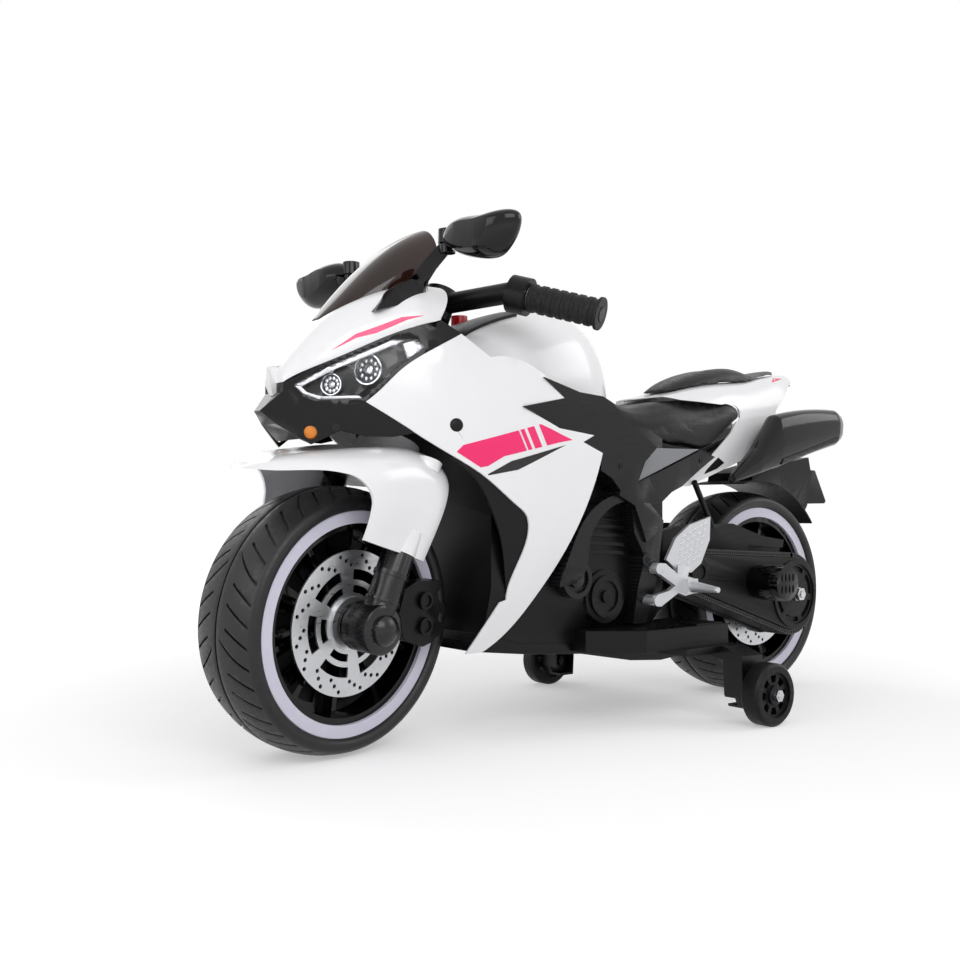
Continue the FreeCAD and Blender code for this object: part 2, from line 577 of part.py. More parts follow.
nose_room = cowl_inner.fuse(under(fair, SKIN + 0.1, 690, 900, 420,
                                  535).common(block(600, 900, 0, 160, 400, 600)))
nose_room = nose_room.fuse(flip(nose_room))
stays = Part.makeCompound(stay).common(nose_room)
frame = head.fuse(tubes + [s for s in stays.Solids]).cut(head_bore)
rear_stay = [rod(at(160, 0, 374), at(-20, 0, 440), 10.0), rod(at(-20, 0, 446), at(-20, 0, 359), 9.0)]
rear_stay += [rod(at(40, -110, 418), at(40, 110, 418), 7.0), Part.makeSphere(11.2, at(-20, 0, 440))]
frame = frame.fuse(rear_stay)
frame = frame.cut(housing).cut(flip(housing)).cut(chin).cut(tank).cut(head_bore)

# Soft pieces and the tail.
seat_sections = [(376, 36, 441.0, 474), (346, 62, 432.0, 474), (317, 74, 421.0, 465), (275, 84, 411.0, 470)]
seat_sections += [(223, 90, 407.5, 478), (187, 92, 405.5, 482), (144, 92, 423, 486), (108, 90, 447, 485),
                  (90, 84, 455, 478)]


def cushion(x, w, z0, z1):
    h = z1 - z0
    side = [(w * 0.93, z0), (w, z0 + 0.42 * h), (w * 0.95, z0 + 0.76 * h), (w * 0.66, z0 + 0.97 * h),
            (0, z1)]
    points = [at(x, y, z) for y, z in side] + [at(x, -y, z) for y, z in reversed(side[:-1])]
    curve = Part.BSplineCurve()
    curve.interpolate(points)
    return Part.Wire([curve.toShape(), Part.makeLine(points[-1], points[0])])


seat = Part.makeLoft([cushion(*s) for s in seat_sections], True, False)
seat = seat.cut(casing).cut(tank_full)
tail_sections = [(-96, tail_half(-96), 330, 548), (-40, tail_half(-40), 330, 539),
                 (40, tail_half(40), 330, 525)]
tail_sections += [(110, tail_half(110), 330, 516), (170, 91, 330, 504), (262, 92, 330, 486)]
tail_full = hull(tail_sections, 0.42)
tail_inner = hull(inset(tail_sections, SKIN, -1.0, 1.0), 0.42)
tail_items = [(241, 345), (189, 377), (160, 398), (116, 433), (94, 462), (128, 477), (219, 481), (240, 486)]
tail_items += [(256, 560), (-96, 560), (-96, 532), (-80, 525), (-22, 479), (-15, 465), (84, 388),
               (220, 345)]
tail = tail_full.cut(tail_inner).common(prism(tail_items, -150, 150)).cut(seat).cut(casing)
lamp_red = tail_inner.common(block(-95, -84, -60, 60, 526, 560))
tail = tail.cut(lamp_red)
pad_sections = [(208, 30, 470, 505), (160, 46, 470, 527), (100, 53, 480, 544), (40, 53, 480, 549),
                (4, 48, 480, 545)]
pad_sections += [(-40, 40, 480, 550), (-84, 30, 480, 556)]
pad = Part.makeLoft([cushion(*s) for s in pad_sections], True, False)
pad = pad.cut(tail_full).cut(seat)
tail = tail.common(tail_full)
frame = frame.cut(tail).cut(seat)


def solid_of(shape):
    return max(shape.Solids, key=lambda s: s.Volume)


pad = solid_of(pad)
seat = solid_of(seat)
tail = solid_of(tail)
frame = solid_of(frame)

muffler_front = [(152, 357, 6, 7), (96, 386, 22, 17), (48, 419, 44, 22)]
muffler_body = [(48, 419, 44, 22), (-32, 437, 39, 23), (-112, 449, 31, 21)]
muffler_end = [(-112, 449, 31, 21), (-126, 450, 24, 17)]


def oval(x, mid, up, out):
    points = []
    for i in range(12):
        c, t = math.cos(math.pi * i / 6.0), math.sin(math.pi * i / 6.0)
        y = 115.0 + out * math.copysign(abs(c) ** 0.8, c)
        points.append(at(x, y, mid + up * math.copysign(abs(t) ** 0.8, t)))
    curve = Part.BSplineCurve()
    curve.interpolate(points, PeriodicFlag=True)
    return Part.Wire(curve.toShape())


muffler = Part.makeLoft([oval(*row) for row in muffler_front], True, True)
muffler = muffler.fuse(Part.makeLoft([oval(*row) for row in muffler_body], True, False))
muffler = muffler.fuse(Part.makeLoft([oval(*row) for row in muffler_end], True, True))
muffler_void = [(x, mid, up - 4.0, out - 4.0) for x, mid, up, out in muffler_body]
muffler = muffler.cut(Part.makeLoft([oval(*row) for row in muffler_void], True, False))
outlet = rod(at(-116, 115, 449), at(-130, 115, 451), 13.0)
muffler = muffler.fuse(outlet).cut(rod(at(-100, 115, 448), at(-140, 115, 452), 10.0))
lug = rod(at(40, 70, 418), at(40, 96, 418), 10.0).cut(tail).cut(frame)
muffler = solid_of(muffler.fuse(solid_of(lug)).cut(frame).removeSplitter())

guard_r = WHEEL_R + 16.0
mud = ring(guard_r, guard_r + SKIN, -52, 52)
sweep = Part.Face(Part.makePolygon([V(30, -60, 60), V(60, -60, 400), V(-160, -60, 400), V(-300, -60, 210),
                                    V(0, -60, 20), V(30, -60, 60)])).extrude(V(0, 120, 0))
mud = rear(mud.common(sweep))
plate = prism([(-148, 380), (-168, 379), (-200, 324), (-196, 319.6), (-145, 319)], -46, 46)
plate = plate.cut(prism([(-146, 378), (-166, 375), (-193, 325), (-144, 322)], -43, 43))
hanger_items = [(18, 352), (12, 372), (-60, 388), (-146, 402), (-152, 378), (-141, 316), (-126, 296),
                (-60, 320)]
hanger = prism(hanger_items, -48, 48)
hanger = hanger.cut(prism([(10, 340), (8, 368), (-60, 384), (-142, 397), (-147, 376), (-136, 300),
                           (-60, 300)], -45, 45))
hanger = hanger.cut(rear(rod(V(0, -70, 0), V(0, 70, 0), guard_r + 1.0)))
mud = mud.fuse([hanger, plate]).removeSplitter()
mud = mud.cut(tail)
mud = solid_of(mud.cut(frame))

# Swing arms, drive case, gears, motor and rear axle.
arm_l = [(372, 196), (372, 250), (232, 284), (99, 286), (20, 264), (-36, 257), (-33, 244), (8, 246),
         (60, 250)]
arm_l += [(60, 236), (-30, 236), (-62, 190), (-58, 140), (-20, 104), (30, 104), (90, 126), (230, 172)]
swing_y0, swing_y1 = TYRE_HALF + 6.0, TYRE_HALF + 18.0
swing_half = prism(arm_l, swing_y0, swing_y1)
hub_hole = rear(rod(V(0, 40, 0), V(0, 90, 0), 31.0))
idler_r = MODULE * TEETH_IDLER_SMALL / 2.0
wheel_r = MODULE * TEETH_WHEEL / 2.0
big_r = MODULE * TEETH_IDLER_BIG / 2.0
pinion_r = MODULE * TEETH_PINION / 2.0
mesh_a = wheel_r + idler_r + 0.35
mesh_b = big_r + pinion_r + 0.35
motor_d = math.hypot(MOTOR_X, MOTOR_UP)
motor_a = math.atan2(MOTOR_UP, MOTOR_X)
idler_a = motor_a - math.acos((mesh_a ** 2 + motor_d ** 2 - mesh_b ** 2) / (2.0 * mesh_a * motor_d))
idler_at = V(mesh_a * math.cos(idler_a), 0, WHEEL_R + mesh_a * math.sin(idler_a))
motor_at = V(MOTOR_X, 0, WHEEL_R + MOTOR_UP)
to_motor = math.atan2(motor_at.z - idler_at.z, motor_at.x - idler_at.x)

case_y0, case_y1 = swing_y1 + 0.1, swing_y1 + 46.0
gear_y = case_y0 + 6.0
cross = rod(at(345, -swing_y1, 223), at(345, swing_y1, 223), 20.0)
idler_pin = rod(idler_at + V(0, swing_y1 - 1, 0), idler_at + V(0, case_y1 - 4, 0), 4.0)
right_arm = flip(swing_half).cut(rear(rod(V(0, -90, 0), V(0, -40, 0), AXLE_R)))
swing = swing_half.cut(hub_hole).fuse([cross, right_arm, idler_pin])
brace = rod(at(140, 68, 275), at(212, 90, 352), 4.5).fuse(rod(at(128, 68, 275), at(186, 90, 361), 4.5))
brace = brace.cut(casing)
swing = swing.fuse([solid_of(brace), flip(solid_of(brace))]).removeSplitter()
swing = swing.cut(casing).cut(tail)
casing = casing.cut(cross)
frame = frame.cut(cross)


def chain_outline(grow):
    big = rod(V(0, 0, WHEEL_R), V(0, 1, WHEEL_R), 68.0 + grow)
    small = rod(V(236, 0, sz(214)), V(236, 1, sz(214)), 36.0 + grow)
    run = math.hypot(236.0, sz(214) - WHEEL_R)
    tilt = math.atan2(sz(214) - WHEEL_R, 236.0)
    lean = math.acos(32.0 / run)
    points = []
    for r, x, z, a in ((68.0 + grow, 0, WHEEL_R, tilt + lean), (36.0 + grow, 236, sz(214), tilt + lean),
                       (36.0 + grow, 236, sz(214), tilt - lean), (68.0 + grow, 0, WHEEL_R, tilt - lean)):
        points.append(V(x + r * math.cos(a), 0, z + r * math.sin(a)))
    band = Part.Face(Part.makePolygon(points + points[:1])).extrude(V(0, 1, 0))
    return band.fuse([big, small]).removeSplitter()


def chain_solid(grow, y0, y1):
    one = chain_outline(grow)
    face = min(one.Faces, key=lambda f: f.CenterOfMass.y)
    face = face.copy()
    face.translate(V(0, y0, 0))
    return face.extrude(V(0, y1 - y0, 0))


case = chain_solid(0.0, case_y0, case_y1 - 8.0).fuse(chain_solid(-9.0, case_y0, case_y1))
case = case.cut(chain_solid(-4.0, case_y0 - 1, case_y1 - 12.0))
case = case.cut(rear(rod(V(0, 0, 0), V(0, 200, 0), AXLE_R)))
case = case.fuse(rod(motor_at + V(0, case_y1 - 14, 0), motor_at + V(0, case_y1, 0), 26.0))
case = case.cut(rod(motor_at, motor_at + V(0, 300, 0), 5.0))
case = case.cut(rod(idler_at, idler_at + V(0, case_y1 - 4, 0), 4.0)).removeSplitter()

vents = around(arc_slot(38.0, 46.0, 46.0, case_y1 - 4.0, case_y1 + 9.0), 6, 20.0)
sprocket = rear(ring(50.0, 56.0, case_y1 - 1.0, case_y1 + 3.0))
case = case.fuse(sprocket.cut(rod(motor_at, motor_at + V(0, 300, 0), 32.0)))
case = case.cut(rear(vents)).fuse(rod(at(236, case_y1 - 9, 214), at(236, case_y1 + 3, 214), 20.0))
case = case.cut(rod(at(236, case_y1, 214), at(236, case_y1 + 9, 214), 11.0)).removeSplitter()

wheel_gear = gear(TEETH_WHEEL, gear_y, gear_y + 10.0, idler_a)
wheel_gear = wheel_gear.fuse(rod(V(0, HUB_HALF, 0), V(0, gear_y, 0), 24.0))
wheel_gear = wheel_gear.cut(rod(V(0, 0, 0), V(0, 200, 0), AXLE_R + RUN_FIT))
wheel_gear = rear(wheel_gear.removeSplitter())
idler = gear(TEETH_IDLER_SMALL, gear_y, gear_y + 11.0, idler_a + math.pi + math.pi / TEETH_IDLER_SMALL)
idler = idler.fuse(gear(TEETH_IDLER_BIG, gear_y + 11.0, gear_y + 19.0, to_motor))
idler = idler.cut(rod(V(0, 0, 0), V(0, 200, 0), 4.0 + RUN_FIT)).removeSplitter()
idler.translate(V(idler_at.x, 0, idler_at.z))
pinion = gear(TEETH_PINION, gear_y + 11.5, gear_y + 19.0, to_motor + math.pi + math.pi / TEETH_PINION)
shaft_out = case_y1 + MOTOR_LEN - 6.0
pinion = pinion.fuse(rod(V(0, gear_y + 11.5, 0), V(0, shaft_out, 0), 3.0)).removeSplitter()
pinion.translate(V(motor_at.x, 0, motor_at.z))
motor = rod(motor_at + V(0, case_y1, 0), motor_at + V(0, case_y1 + MOTOR_LEN, 0), MOTOR_R)
can_y0, can_y1 = case_y1 + 12.0, case_y1 + MOTOR_LEN - 14.0
motor = motor.fuse(rod(motor_at + V(0, can_y0, 0), motor_at + V(0, can_y1, 0), MOTOR_R + 1.5))
motor = motor.cut(rod(motor_at, motor_at + V(0, shaft_out + 0.5, 0), 3.0 + RUN_FIT)).removeSplitter()
rear_axle = rod(V(0, -swing_y1 - 22, 0), V(0, case_y1 + 18, 0), AXLE_R)


def nut(y0, y1, r):
    points = [V(r * math.cos(math.radians(60 * i)), y0,
                r * math.sin(math.radians(60 * i))) for i in range(7)]
    return Part.Face(Part.makePolygon(points)).extrude(V(0, y1 - y0, 0))


rear_axle = rear_axle.fuse([nut(case_y1 + 0.1, case_y1 + 8, 12.0), nut(case_y1 + 9, case_y1 + 15, 11.0)])
rear_axle = rear_axle.fuse(nut(-swing_y1 - 9, -swing_y1 - 0.1, 12.0))
spacer = ring(AXLE_R, 12.0, -swing_y0 + 0.1, -HUB_HALF - MOVE_GAP)
rear_axle = rear(rear_axle.fuse(spacer).removeSplitter())

shock = rod(at(262, 0, 352), at(238, 0, 240), 9.0)
for i in range(7):
    mid = at(262, 0, 352) + (at(238, 0, 240) - at(262, 0, 352)) * (0.22 + 0.10 * i)
    axis = at(238, 0, 240) - at(262, 0, 352)
    axis.normalize()
    shock = shock.fuse(rod(mid, mid + axis * 6.0, 20.0))
shock_bridge = rod(at(238, -swing_y0 - 1, 240), at(238, swing_y0 + 1, 240), 9.0)
swing = swing.fuse(shock_bridge).removeSplitter()
shock = shock.cut(casing).cut(swing).cut(frame)

# Foot gear, stabilisers, pedal, mirrors and the electric box.
y_items = [(350, 232), (332, 231), (307, 215), (288, 211), (270, 207), (270, 185), (290, 182), (305, 187),
           (342, 169)]
y_items += [(358, 172), (358, 185), (324, 191), (311, 198), (346, 217)]
peg = prism(y_items, 130, 139)
for bx, bz in ((347, 224), (351, 178)):
    peg = peg.fuse(rod(at(bx, 108, bz), at(bx, 142, bz), 8.0))
peg = peg.fuse(block(272, 294, 126, 148, 186, 207))
peg = peg.fuse(Part.makeCone(9.0, 4.0, 50.0, at(284, 146, 196), V(0, 1, -0.05)))
heel_items = [(223, 298), (225, 263), (245, 228), (267, 215), (297, 219), (322, 236), (301, 267),
              (271, 286)]
heel_link = prism([(282, 206), (304, 210), (302, 228), (276, 224)], 126, 136)
peg = peg.fuse([prism(heel_items, 126, 131), heel_link]).cut(casing).cut(cover)
peg = solid_of(peg).removeSplitter()

board_plan = [V(sx(225), 60, 0), V(sx(225), 165, 0), V(sx(400), 165, 0), V(sx(466), 112, 0),
              V(sx(466), 60, 0)]
board = Part.Face(Part.makePolygon(board_plan + board_plan[:1]))
board.translate(V(0, 0, sz(110)))
board = board.extrude(V(0, 0, 30)).cut(casing).cut(belly)
board = board.cut(block(245, 390, 108, 158, 104, 132))
board = board.fuse(block(232, 290, 126, 160, 138, 142))
for i in range(5):
    board = board.cut(block(298 + 17 * i, 306 + 17 * i, 134, 158, 136.0, 150))
board = solid_of(board.cut(peg).cut(cover))
hinge_y0, hinge_y1 = 130.0, 159.0
lugs = []
for y in (hinge_y0 - 6.0, hinge_y1):
    lugs.append(rod(at(318, y, 145.5), at(318, y + 6, 145.5),
                    5.5).fuse(block(313, 323, y, y + 6, 138, 146)))
pin = rod(at(318, hinge_y0 - 5.0, 145.5), at(318, hinge_y1 + 5.0, 145.5), 2.5)
board_right = solid_of(board.fuse(lugs + [pin]).cut(cover).removeSplitter())
board_right = flip(board_right)
pedal_y0, pedal_y1 = hinge_y0 + MOVE_GAP, hinge_y1 - MOVE_GAP
pedal = prism([(318, 142.4), (324, 142.4), (392, 151), (392, 155), (322, 149.6), (318, 149.6)], pedal_y0,
              pedal_y1)
pedal = pedal.fuse(rod(at(318, pedal_y0, 145.5), at(318, pedal_y1, 145.5), 5.0))
pedal = flip(pedal.cut(rod(at(318, 100, 145.5), at(318, 170, 145.5), 2.5 + RUN_FIT)).removeSplitter())

strap = prism([(330, 100), (330, 109.9), (236, 109.9), (236, 100)], 120, 176)
hub_end = V(TRAIN_X, 0, TRAIN_R)
leg_t = TRAIN_Y - TRAIN_W / 2.0 - 7.0
tongue = Part.makeLoft([Part.makePolygon([V(TRAIN_X - 16, y, z0), V(TRAIN_X + 30, y, z0),
                                          V(TRAIN_X + 30, y, z1),
                                          V(TRAIN_X - 16, y, z1), V(TRAIN_X - 16, y, z0)])
                        for y, z0, z1 in ((150, 96, 109.9), (182, 90, 109.9), (leg_t, 74, 98))], True, True)
drop = [(TRAIN_X - 16, 92), (TRAIN_X + 30, 92), (TRAIN_X + 28, 40), (TRAIN_X + 18, 22), (TRAIN_X - 12, 22)]
drop = Part.Face(Part.makePolygon([V(x, 182, z) for x, z in drop + drop[:1]]))
train_arm = tongue.fuse([drop.extrude(V(0, leg_t - 182, 0)), strap])
train_arm = train_arm.cut(Part.makeBox(38, 24, 70, V(TRAIN_X - 12, 176, 26)))
train_arm = train_arm.cut(rod(hub_end, hub_end + V(0, 300, 0), 5.0)).removeSplitter()
bolt = rod(hub_end + V(0, leg_t - 22, 0), hub_end + V(0, TRAIN_Y + TRAIN_W / 2 + 8, 0), 5.0)
head_nut = nut(0.0, 6.0, 9.0)
head_nut.translate(hub_end + V(0, TRAIN_Y + TRAIN_W / 2 + MOVE_GAP, 0))
in_nut = nut(0.0, 5.5, 9.0)
in_nut.translate(hub_end + V(0, leg_t - 20.6, 0))
bolt = bolt.fuse([head_nut, in_nut]).removeSplitter()
half_w = TRAIN_W / 2.0
train_profile = [(5.0 + RUN_FIT, -half_w), (14, -half_w), (14, -half_w + 5), (32, -half_w + 5),
                 (32, -half_w)]
train_profile += [(TRAIN_R - 4, -half_w), (TRAIN_R, -half_w + 4), (TRAIN_R, half_w - 4),
                  (TRAIN_R - 4, half_w)]
train_profile += [(32, half_w), (32, half_w - 5), (14, half_w - 5), (14, half_w), (5.0 + RUN_FIT, half_w)]
train = spun(train_profile).cut(around(arc_slot(18.0, 28.0, 26.0, -20, 20), 8))
train.translate(hub_end + V(0, TRAIN_Y, 0))

foot = [(790, 556), (760, 588), (738, 602), (716, 600), (716, 578), (745, 570)]
stalk_path = [at(730, 70, 590), at(718, 92, 620), at(708, 110, 640)]


def blade_wire(p, wide, thick):
    along = V(0.82, -0.36, 0.0)
    across = V(0.36, 0.62, 0.70)
    corners = [p + along * wide + across * thick, p - along * wide + across * thick]
    corners += [p - along * wide - across * thick, p + along * wide - across * thick]
    return Part.makePolygon(corners + corners[:1])


stalk = Part.makeLoft([blade_wire(stalk_path[0], 12, 6), blade_wire(stalk_path[1], 10, 5),
                       blade_wire(stalk_path[2], 9, 5)], True, True)
stalk = stalk.fuse(prism(foot, 56, 80))
stalk = stalk.cut(cowl_full)
pivot_at = at(708, 116, 646)
stalk = stalk.fuse(rod(pivot_at - V(0, 0, 14), pivot_at - V(0, 0, 2), 10.0))
stalk = stalk.fuse(rod(pivot_at - V(0, 0, 4), pivot_at + V(0, 0, 10), 5.0))
stalk = solid_of(stalk).removeSplitter()
stalk = stalk.cut(screen)


def mirror_wire(x, share):
    pts = [(121, 648), (130, 660), (170, 667), (214, 662), (253, 652), (251, 639), (239, 623), (222, 612)]
    pts += [(186, 613), (155, 622), (131, 634)]
    cy, cz = 186.0, 640.0
    out = [at(x, cy + (y - cy) * share, cz + (z - cz) * share) for y, z in pts]
    curve = Part.BSplineCurve()
    curve.interpolate(out, PeriodicFlag=True)
    return Part.Wire(curve.toShape())


housing_m = Part.makeLoft([mirror_wire(699, 0.95), mirror_wire(705, 1.0), mirror_wire(722, 0.90),
                           mirror_wire(735, 0.62)], True, False)
clear_pin = rod(pivot_at - V(0, 0, 1.4), pivot_at + V(0, 0, 11), 5.0 + RUN_FIT)
hinge_room = rod(pivot_at - V(0, 0, 40), pivot_at - V(0, 0, 1.4), 22.0)
housing_m = housing_m.cut(hinge_room).cut(clear_pin)
housing_m = housing_m.fuse(rod(pivot_at - V(0, 0, 1.4), pivot_at + V(0, 0, 16), 12.0).cut(clear_pin))
mirror = solid_of(housing_m.cut(stalk))

fins = [prism([(476, 250 + 12 * i), (388, 244 + 12 * i), (388, 249 + 12 * i), (476, 255 + 12 * i)], 90, 110)
        for i in range(5)]
round_cover = rod(at(424, 90, 186), at(424, 108, 186),
                  38.0).fuse(rod(at(424, 90, 186), at(424, 112, 186), 30.0))
round_cover = round_cover.cut(rod(at(424, 109, 186), at(424, 114, 186), 22.0)).fuse(rod(at(424, 90, 186),
                                                                                       at(424, 113,
                                                                                          186), 9.0))
relief = Part.makeCompound(fins + [round_cover]).cut(cover).cut(peg).cut(board)
casing = casing.fuse([s for s in relief.Solids])
casing = casing.fuse([flip(s) for s in relief.Solids]).removeSplitter()

battery = block(390, 390 + BATTERY[0], -BATTERY[1] / 2, BATTERY[1] / 2, 142.1, 142.1 + BATTERY[2])
tray = block(385, 545, -45, 45, 130, 142)
casing = casing.fuse(tray.cut(frame)).cut(frame).cut(pair(duct)).removeSplitter()
control = block(420, 480, -36, 36, 142.2 + BATTERY[2], 170 + BATTERY[2])
battery = battery.cut(frame)
control = control.cut(frame)

PARTS = {
    "front_tyre": steer(tyre), "front_rim": steer(rim), "front_light_rings": steer(light_rings),
    "front_brake_discs": steer(pair(disc)), "front_axle": steer(axle), "fork_legs": steer(pair(leg)),
    "front_fender": steer(fender), "brake_calipers": steer(pair(caliper)),
    "steering_stem": steer(stem), "handlebar": steer(handlebar),
    "switch_pods": steer(Part.makeCompound([pod_left, flip(pod)])), "grips": steer(pair(grip)),
    "horn_button": steer(horn),
    "rear_tyre": rear(tyre), "rear_rim": rear(rim), "rear_light_rings": rear(light_rings),
    "rear_brake_disc": rear(flip(disc)), "wheel_gear": wheel_gear, "idler_gear": idler,
    "motor_pinion": pinion,
    "training_wheel_left": train, "training_wheel_right": flip(train),
    "training_arms": Part.makeCompound([train_arm, bolt, flip(train_arm), flip(bolt)]),
    "mirror_left": mirror, "mirror_right": flip(mirror), "mirror_stalks": pair(stalk),
    "accelerator_pedal": pedal, "power_button": power,
    "main_frame": frame, "upper_cowl": cowl, "windscreen": screen, "headlight_housings": pair(housing),
    "headlight_lenses": pair(lens), "headlamps": Part.makeCompound(lamps + [flip(s) for s in lamps]),
    "chin": chin, "indicators": pair(indicator), "side_fairing_left": fairing,
    "side_fairing_right": flip(fairing), "inner_ducts": pair(duct), "belly_pan": belly,
    "engine_casing": casing,
    "frame_covers": pair(cover), "tank_cover": tank, "dash_panel": dash, "seat": seat,
    "seat_side_panels": pair(grey), "tail_cowl": tail, "pillion_pad": pad, "tail_lamp": lamp_red,
    "mufflers": pair(muffler), "rear_mudguard": mud, "swing_arms": swing, "drive_cover": case,
    "motor": motor,
    "rear_axle": rear_axle, "shock_absorber": shock, "peg_brackets": pair(peg),
    "foot_boards": Part.makeCompound([board, board_right]), "battery": battery, "control_box": control,
}

front_end = PARTS["front_tyre"].optimalBoundingBox(False, False).XMax
X_CENTRE = 0.5 * (front_end + min(p.X for p in plate.Vertexes))
for name, shape in PARTS.items():
    out = shape.copy()
    out.translate(V(-X_CENTRE, 0, 0))
    solids = out.Solids
    if not solids or not all(s.isValid() for s in solids):
        print("CHECK", name, len(solids), [s.isValid() for s in solids])
    out.exportStep("parts/" + name + ".step")
print("X_CENTRE", X_CENTRE, "count", len(PARTS))
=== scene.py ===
import json
import math

import bmesh
import bpy
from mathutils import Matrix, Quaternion, Vector
from mathutils.bvhtree import BVHTree


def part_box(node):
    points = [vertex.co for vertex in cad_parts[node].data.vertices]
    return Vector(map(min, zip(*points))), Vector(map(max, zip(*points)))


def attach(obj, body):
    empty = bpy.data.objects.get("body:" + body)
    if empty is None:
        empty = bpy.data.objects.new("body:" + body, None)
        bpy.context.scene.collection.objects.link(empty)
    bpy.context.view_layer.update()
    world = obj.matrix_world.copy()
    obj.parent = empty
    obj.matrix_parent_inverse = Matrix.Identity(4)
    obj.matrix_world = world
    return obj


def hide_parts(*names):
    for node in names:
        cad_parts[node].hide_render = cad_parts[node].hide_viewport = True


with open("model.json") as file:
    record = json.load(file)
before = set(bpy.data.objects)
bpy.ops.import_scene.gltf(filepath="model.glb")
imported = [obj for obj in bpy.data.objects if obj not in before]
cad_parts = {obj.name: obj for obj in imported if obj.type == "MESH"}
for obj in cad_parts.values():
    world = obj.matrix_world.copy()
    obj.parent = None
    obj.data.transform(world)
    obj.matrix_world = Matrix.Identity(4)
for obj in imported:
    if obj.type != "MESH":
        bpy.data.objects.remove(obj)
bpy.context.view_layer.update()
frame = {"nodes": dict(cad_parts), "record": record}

# Inner frame, battery and control box: welded steel tube under satin black enamel carries every other piece.
# The battery is a sealed black ABS block strapped inside the casing, beside a small moulded control box.
rear_axle_x = (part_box("rear_axle")[0][0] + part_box("rear_axle")[1][0]) / 2.0


def linear(code):
    parts = [int(code[i:i + 2], 16) / 255.0 for i in (1, 3, 5)]
    return tuple(p / 12.92 if p <= 0.04045 else ((p + 0.055) / 1.055) ** 2.4 for p in parts) + (1.0,)


def row(x, y, z):
    """Millimetres measured from the rear axle, the middle plane and the floor."""
    return Vector((rear_axle_x + x / 1000.0, y / 1000.0, z / 1000.0))


def add(tree, kind, links=(), **values):
    made = tree.nodes.new(kind)
    for key, value in values.items():
        if hasattr(made, key):
            setattr(made, key, value)
        else:
            made.inputs[key.replace("_", " ")].default_value = value
    for source, socket in links:
        tree.links.new(source, made.inputs[socket])
    return made


# Scuffs are about 33 mm long and 4 to 6 mm wide, and a grain of full strength stands 0.4 mm high.
SCUFF_SCALE = (30.0, 160.0, 260.0)
GRAIN_RISE = 0.0004


def moulded(name, colour, second, rough, grain_mm=0.8, depth=0.05, spread=0.06, drift_mm=70.0, **shader):
    """A moulded or painted skin: two near shades drift into each other, the gloss drifts and is rubbed in
    short scuffs, and a fine grain sits in the bump."""
    material = bpy.data.materials.new(name)
    material.use_nodes = True
    tree = material.node_tree
    skin = tree.nodes["Principled BSDF"]
    for key, value in shader.items():
        skin.inputs[key.replace("_", " ")].default_value = value
    where = add(tree, "ShaderNodeTexCoord").outputs["Object"]
    drift = add(tree, "ShaderNodeTexNoise", [(where, "Vector")], Scale=1000.0 / drift_mm, Detail=3.0)
    # Sockets 6 and 7 of the mixer are its two colours, and output 2 is what they make.
    tone = add(tree, "ShaderNodeMix", [(drift.outputs["Fac"], "Factor")], data_type="RGBA")
    tone.inputs[6].default_value = linear(colour)
    tone.inputs[7].default_value = linear(second)
    tree.links.new(tone.outputs[2], skin.inputs["Base Color"])
    stretch = add(tree, "ShaderNodeMapping", [(where, "Vector")], Scale=SCUFF_SCALE)
    scuff = add(tree, "ShaderNodeTexNoise", [(stretch.outputs[0], "Vector")], Scale=1.0, Detail=2.0)
    gloss = add(tree, "ShaderNodeMapRange", [(scuff.outputs["Fac"], "Value")], From_Min=0.3, From_Max=0.75,
                To_Min=max(rough - spread, 0.02), To_Max=rough + spread)
    tree.links.new(gloss.outputs["Result"], skin.inputs["Roughness"])
    grain = add(tree, "ShaderNodeTexNoise", [(where, "Vector")], Scale=1000.0 / grain_mm, Detail=2.0)
    bump = add(tree, "ShaderNodeBump", [(grain.outputs["Fac"], "Height")], Strength=depth, Distance=GRAIN_RISE)
    tree.links.new(bump.outputs["Normal"], skin.inputs["Normal"])
    return material


BEVEL_FROM = math.radians(40)


def settle(piece, materials, body, node=None, bevel=0.0, turned=34.0):
    """Gives a finished mesh its material, soft edges and body, and hides the solid it stands for."""
    mesh = piece.data
    if materials:
        mesh.materials.clear()
        for material in materials:
            mesh.materials.append(material)
    mesh.polygons.foreach_set("use_smooth", [True] * len(mesh.polygons))
    mesh.set_sharp_from_angle(angle=math.radians(turned))
    if bevel:
        edge = piece.modifiers.new("soft_edges", "BEVEL")
        edge.width = bevel
        edge.segments = 2
        edge.limit_method = "ANGLE"
        edge.angle_limit = BEVEL_FROM
        edge.harden_normals = True
    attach(piece, body)
    if node:
        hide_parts(node)
    return piece


def grown(name, bm):
    mesh = bpy.data.meshes.new(name)
    bm.to_mesh(mesh)
    bm.free()
    piece = bpy.data.objects.new(name, mesh)
    bpy.context.collection.objects.link(piece)
    return piece


def body_of(node):
    for body, nodes in frame["record"]["behaviour"]["bodies"].items():
        if node in nodes:
            return body


WELD_REACH = 2e-5
FLAT_WITHIN = math.radians(0.02)


def merged(node):
    """A copy of a solid's mesh with its corners welded and its flat faces in one piece."""
    bm = bmesh.new()
    bm.from_mesh(frame["nodes"][node].data)
    bmesh.ops.remove_doubles(bm, verts=bm.verts, dist=WELD_REACH)
    bmesh.ops.dissolve_limit(bm, angle_limit=FLAT_WITHIN, verts=bm.verts, edges=bm.edges)
    return bm


def dressed(node, material, bevel=0.0007, second=None, where=None):
    """A merged copy of a solid with soft edges stands for it, in the same place. Faces whose middle, in
    millimetres from the rear axle, answers to where take the second material."""
    piece = grown(node + "_cover", merged(node))
    settle(piece, [material, second] if second else [material], body_of(node), node, bevel)
    if second:
        for face in piece.data.polygons:
            spot = face.center
            face.material_index = int(where((spot.x - rear_axle_x) * 1000, spot.y * 1000, spot.z * 1000))
    return piece


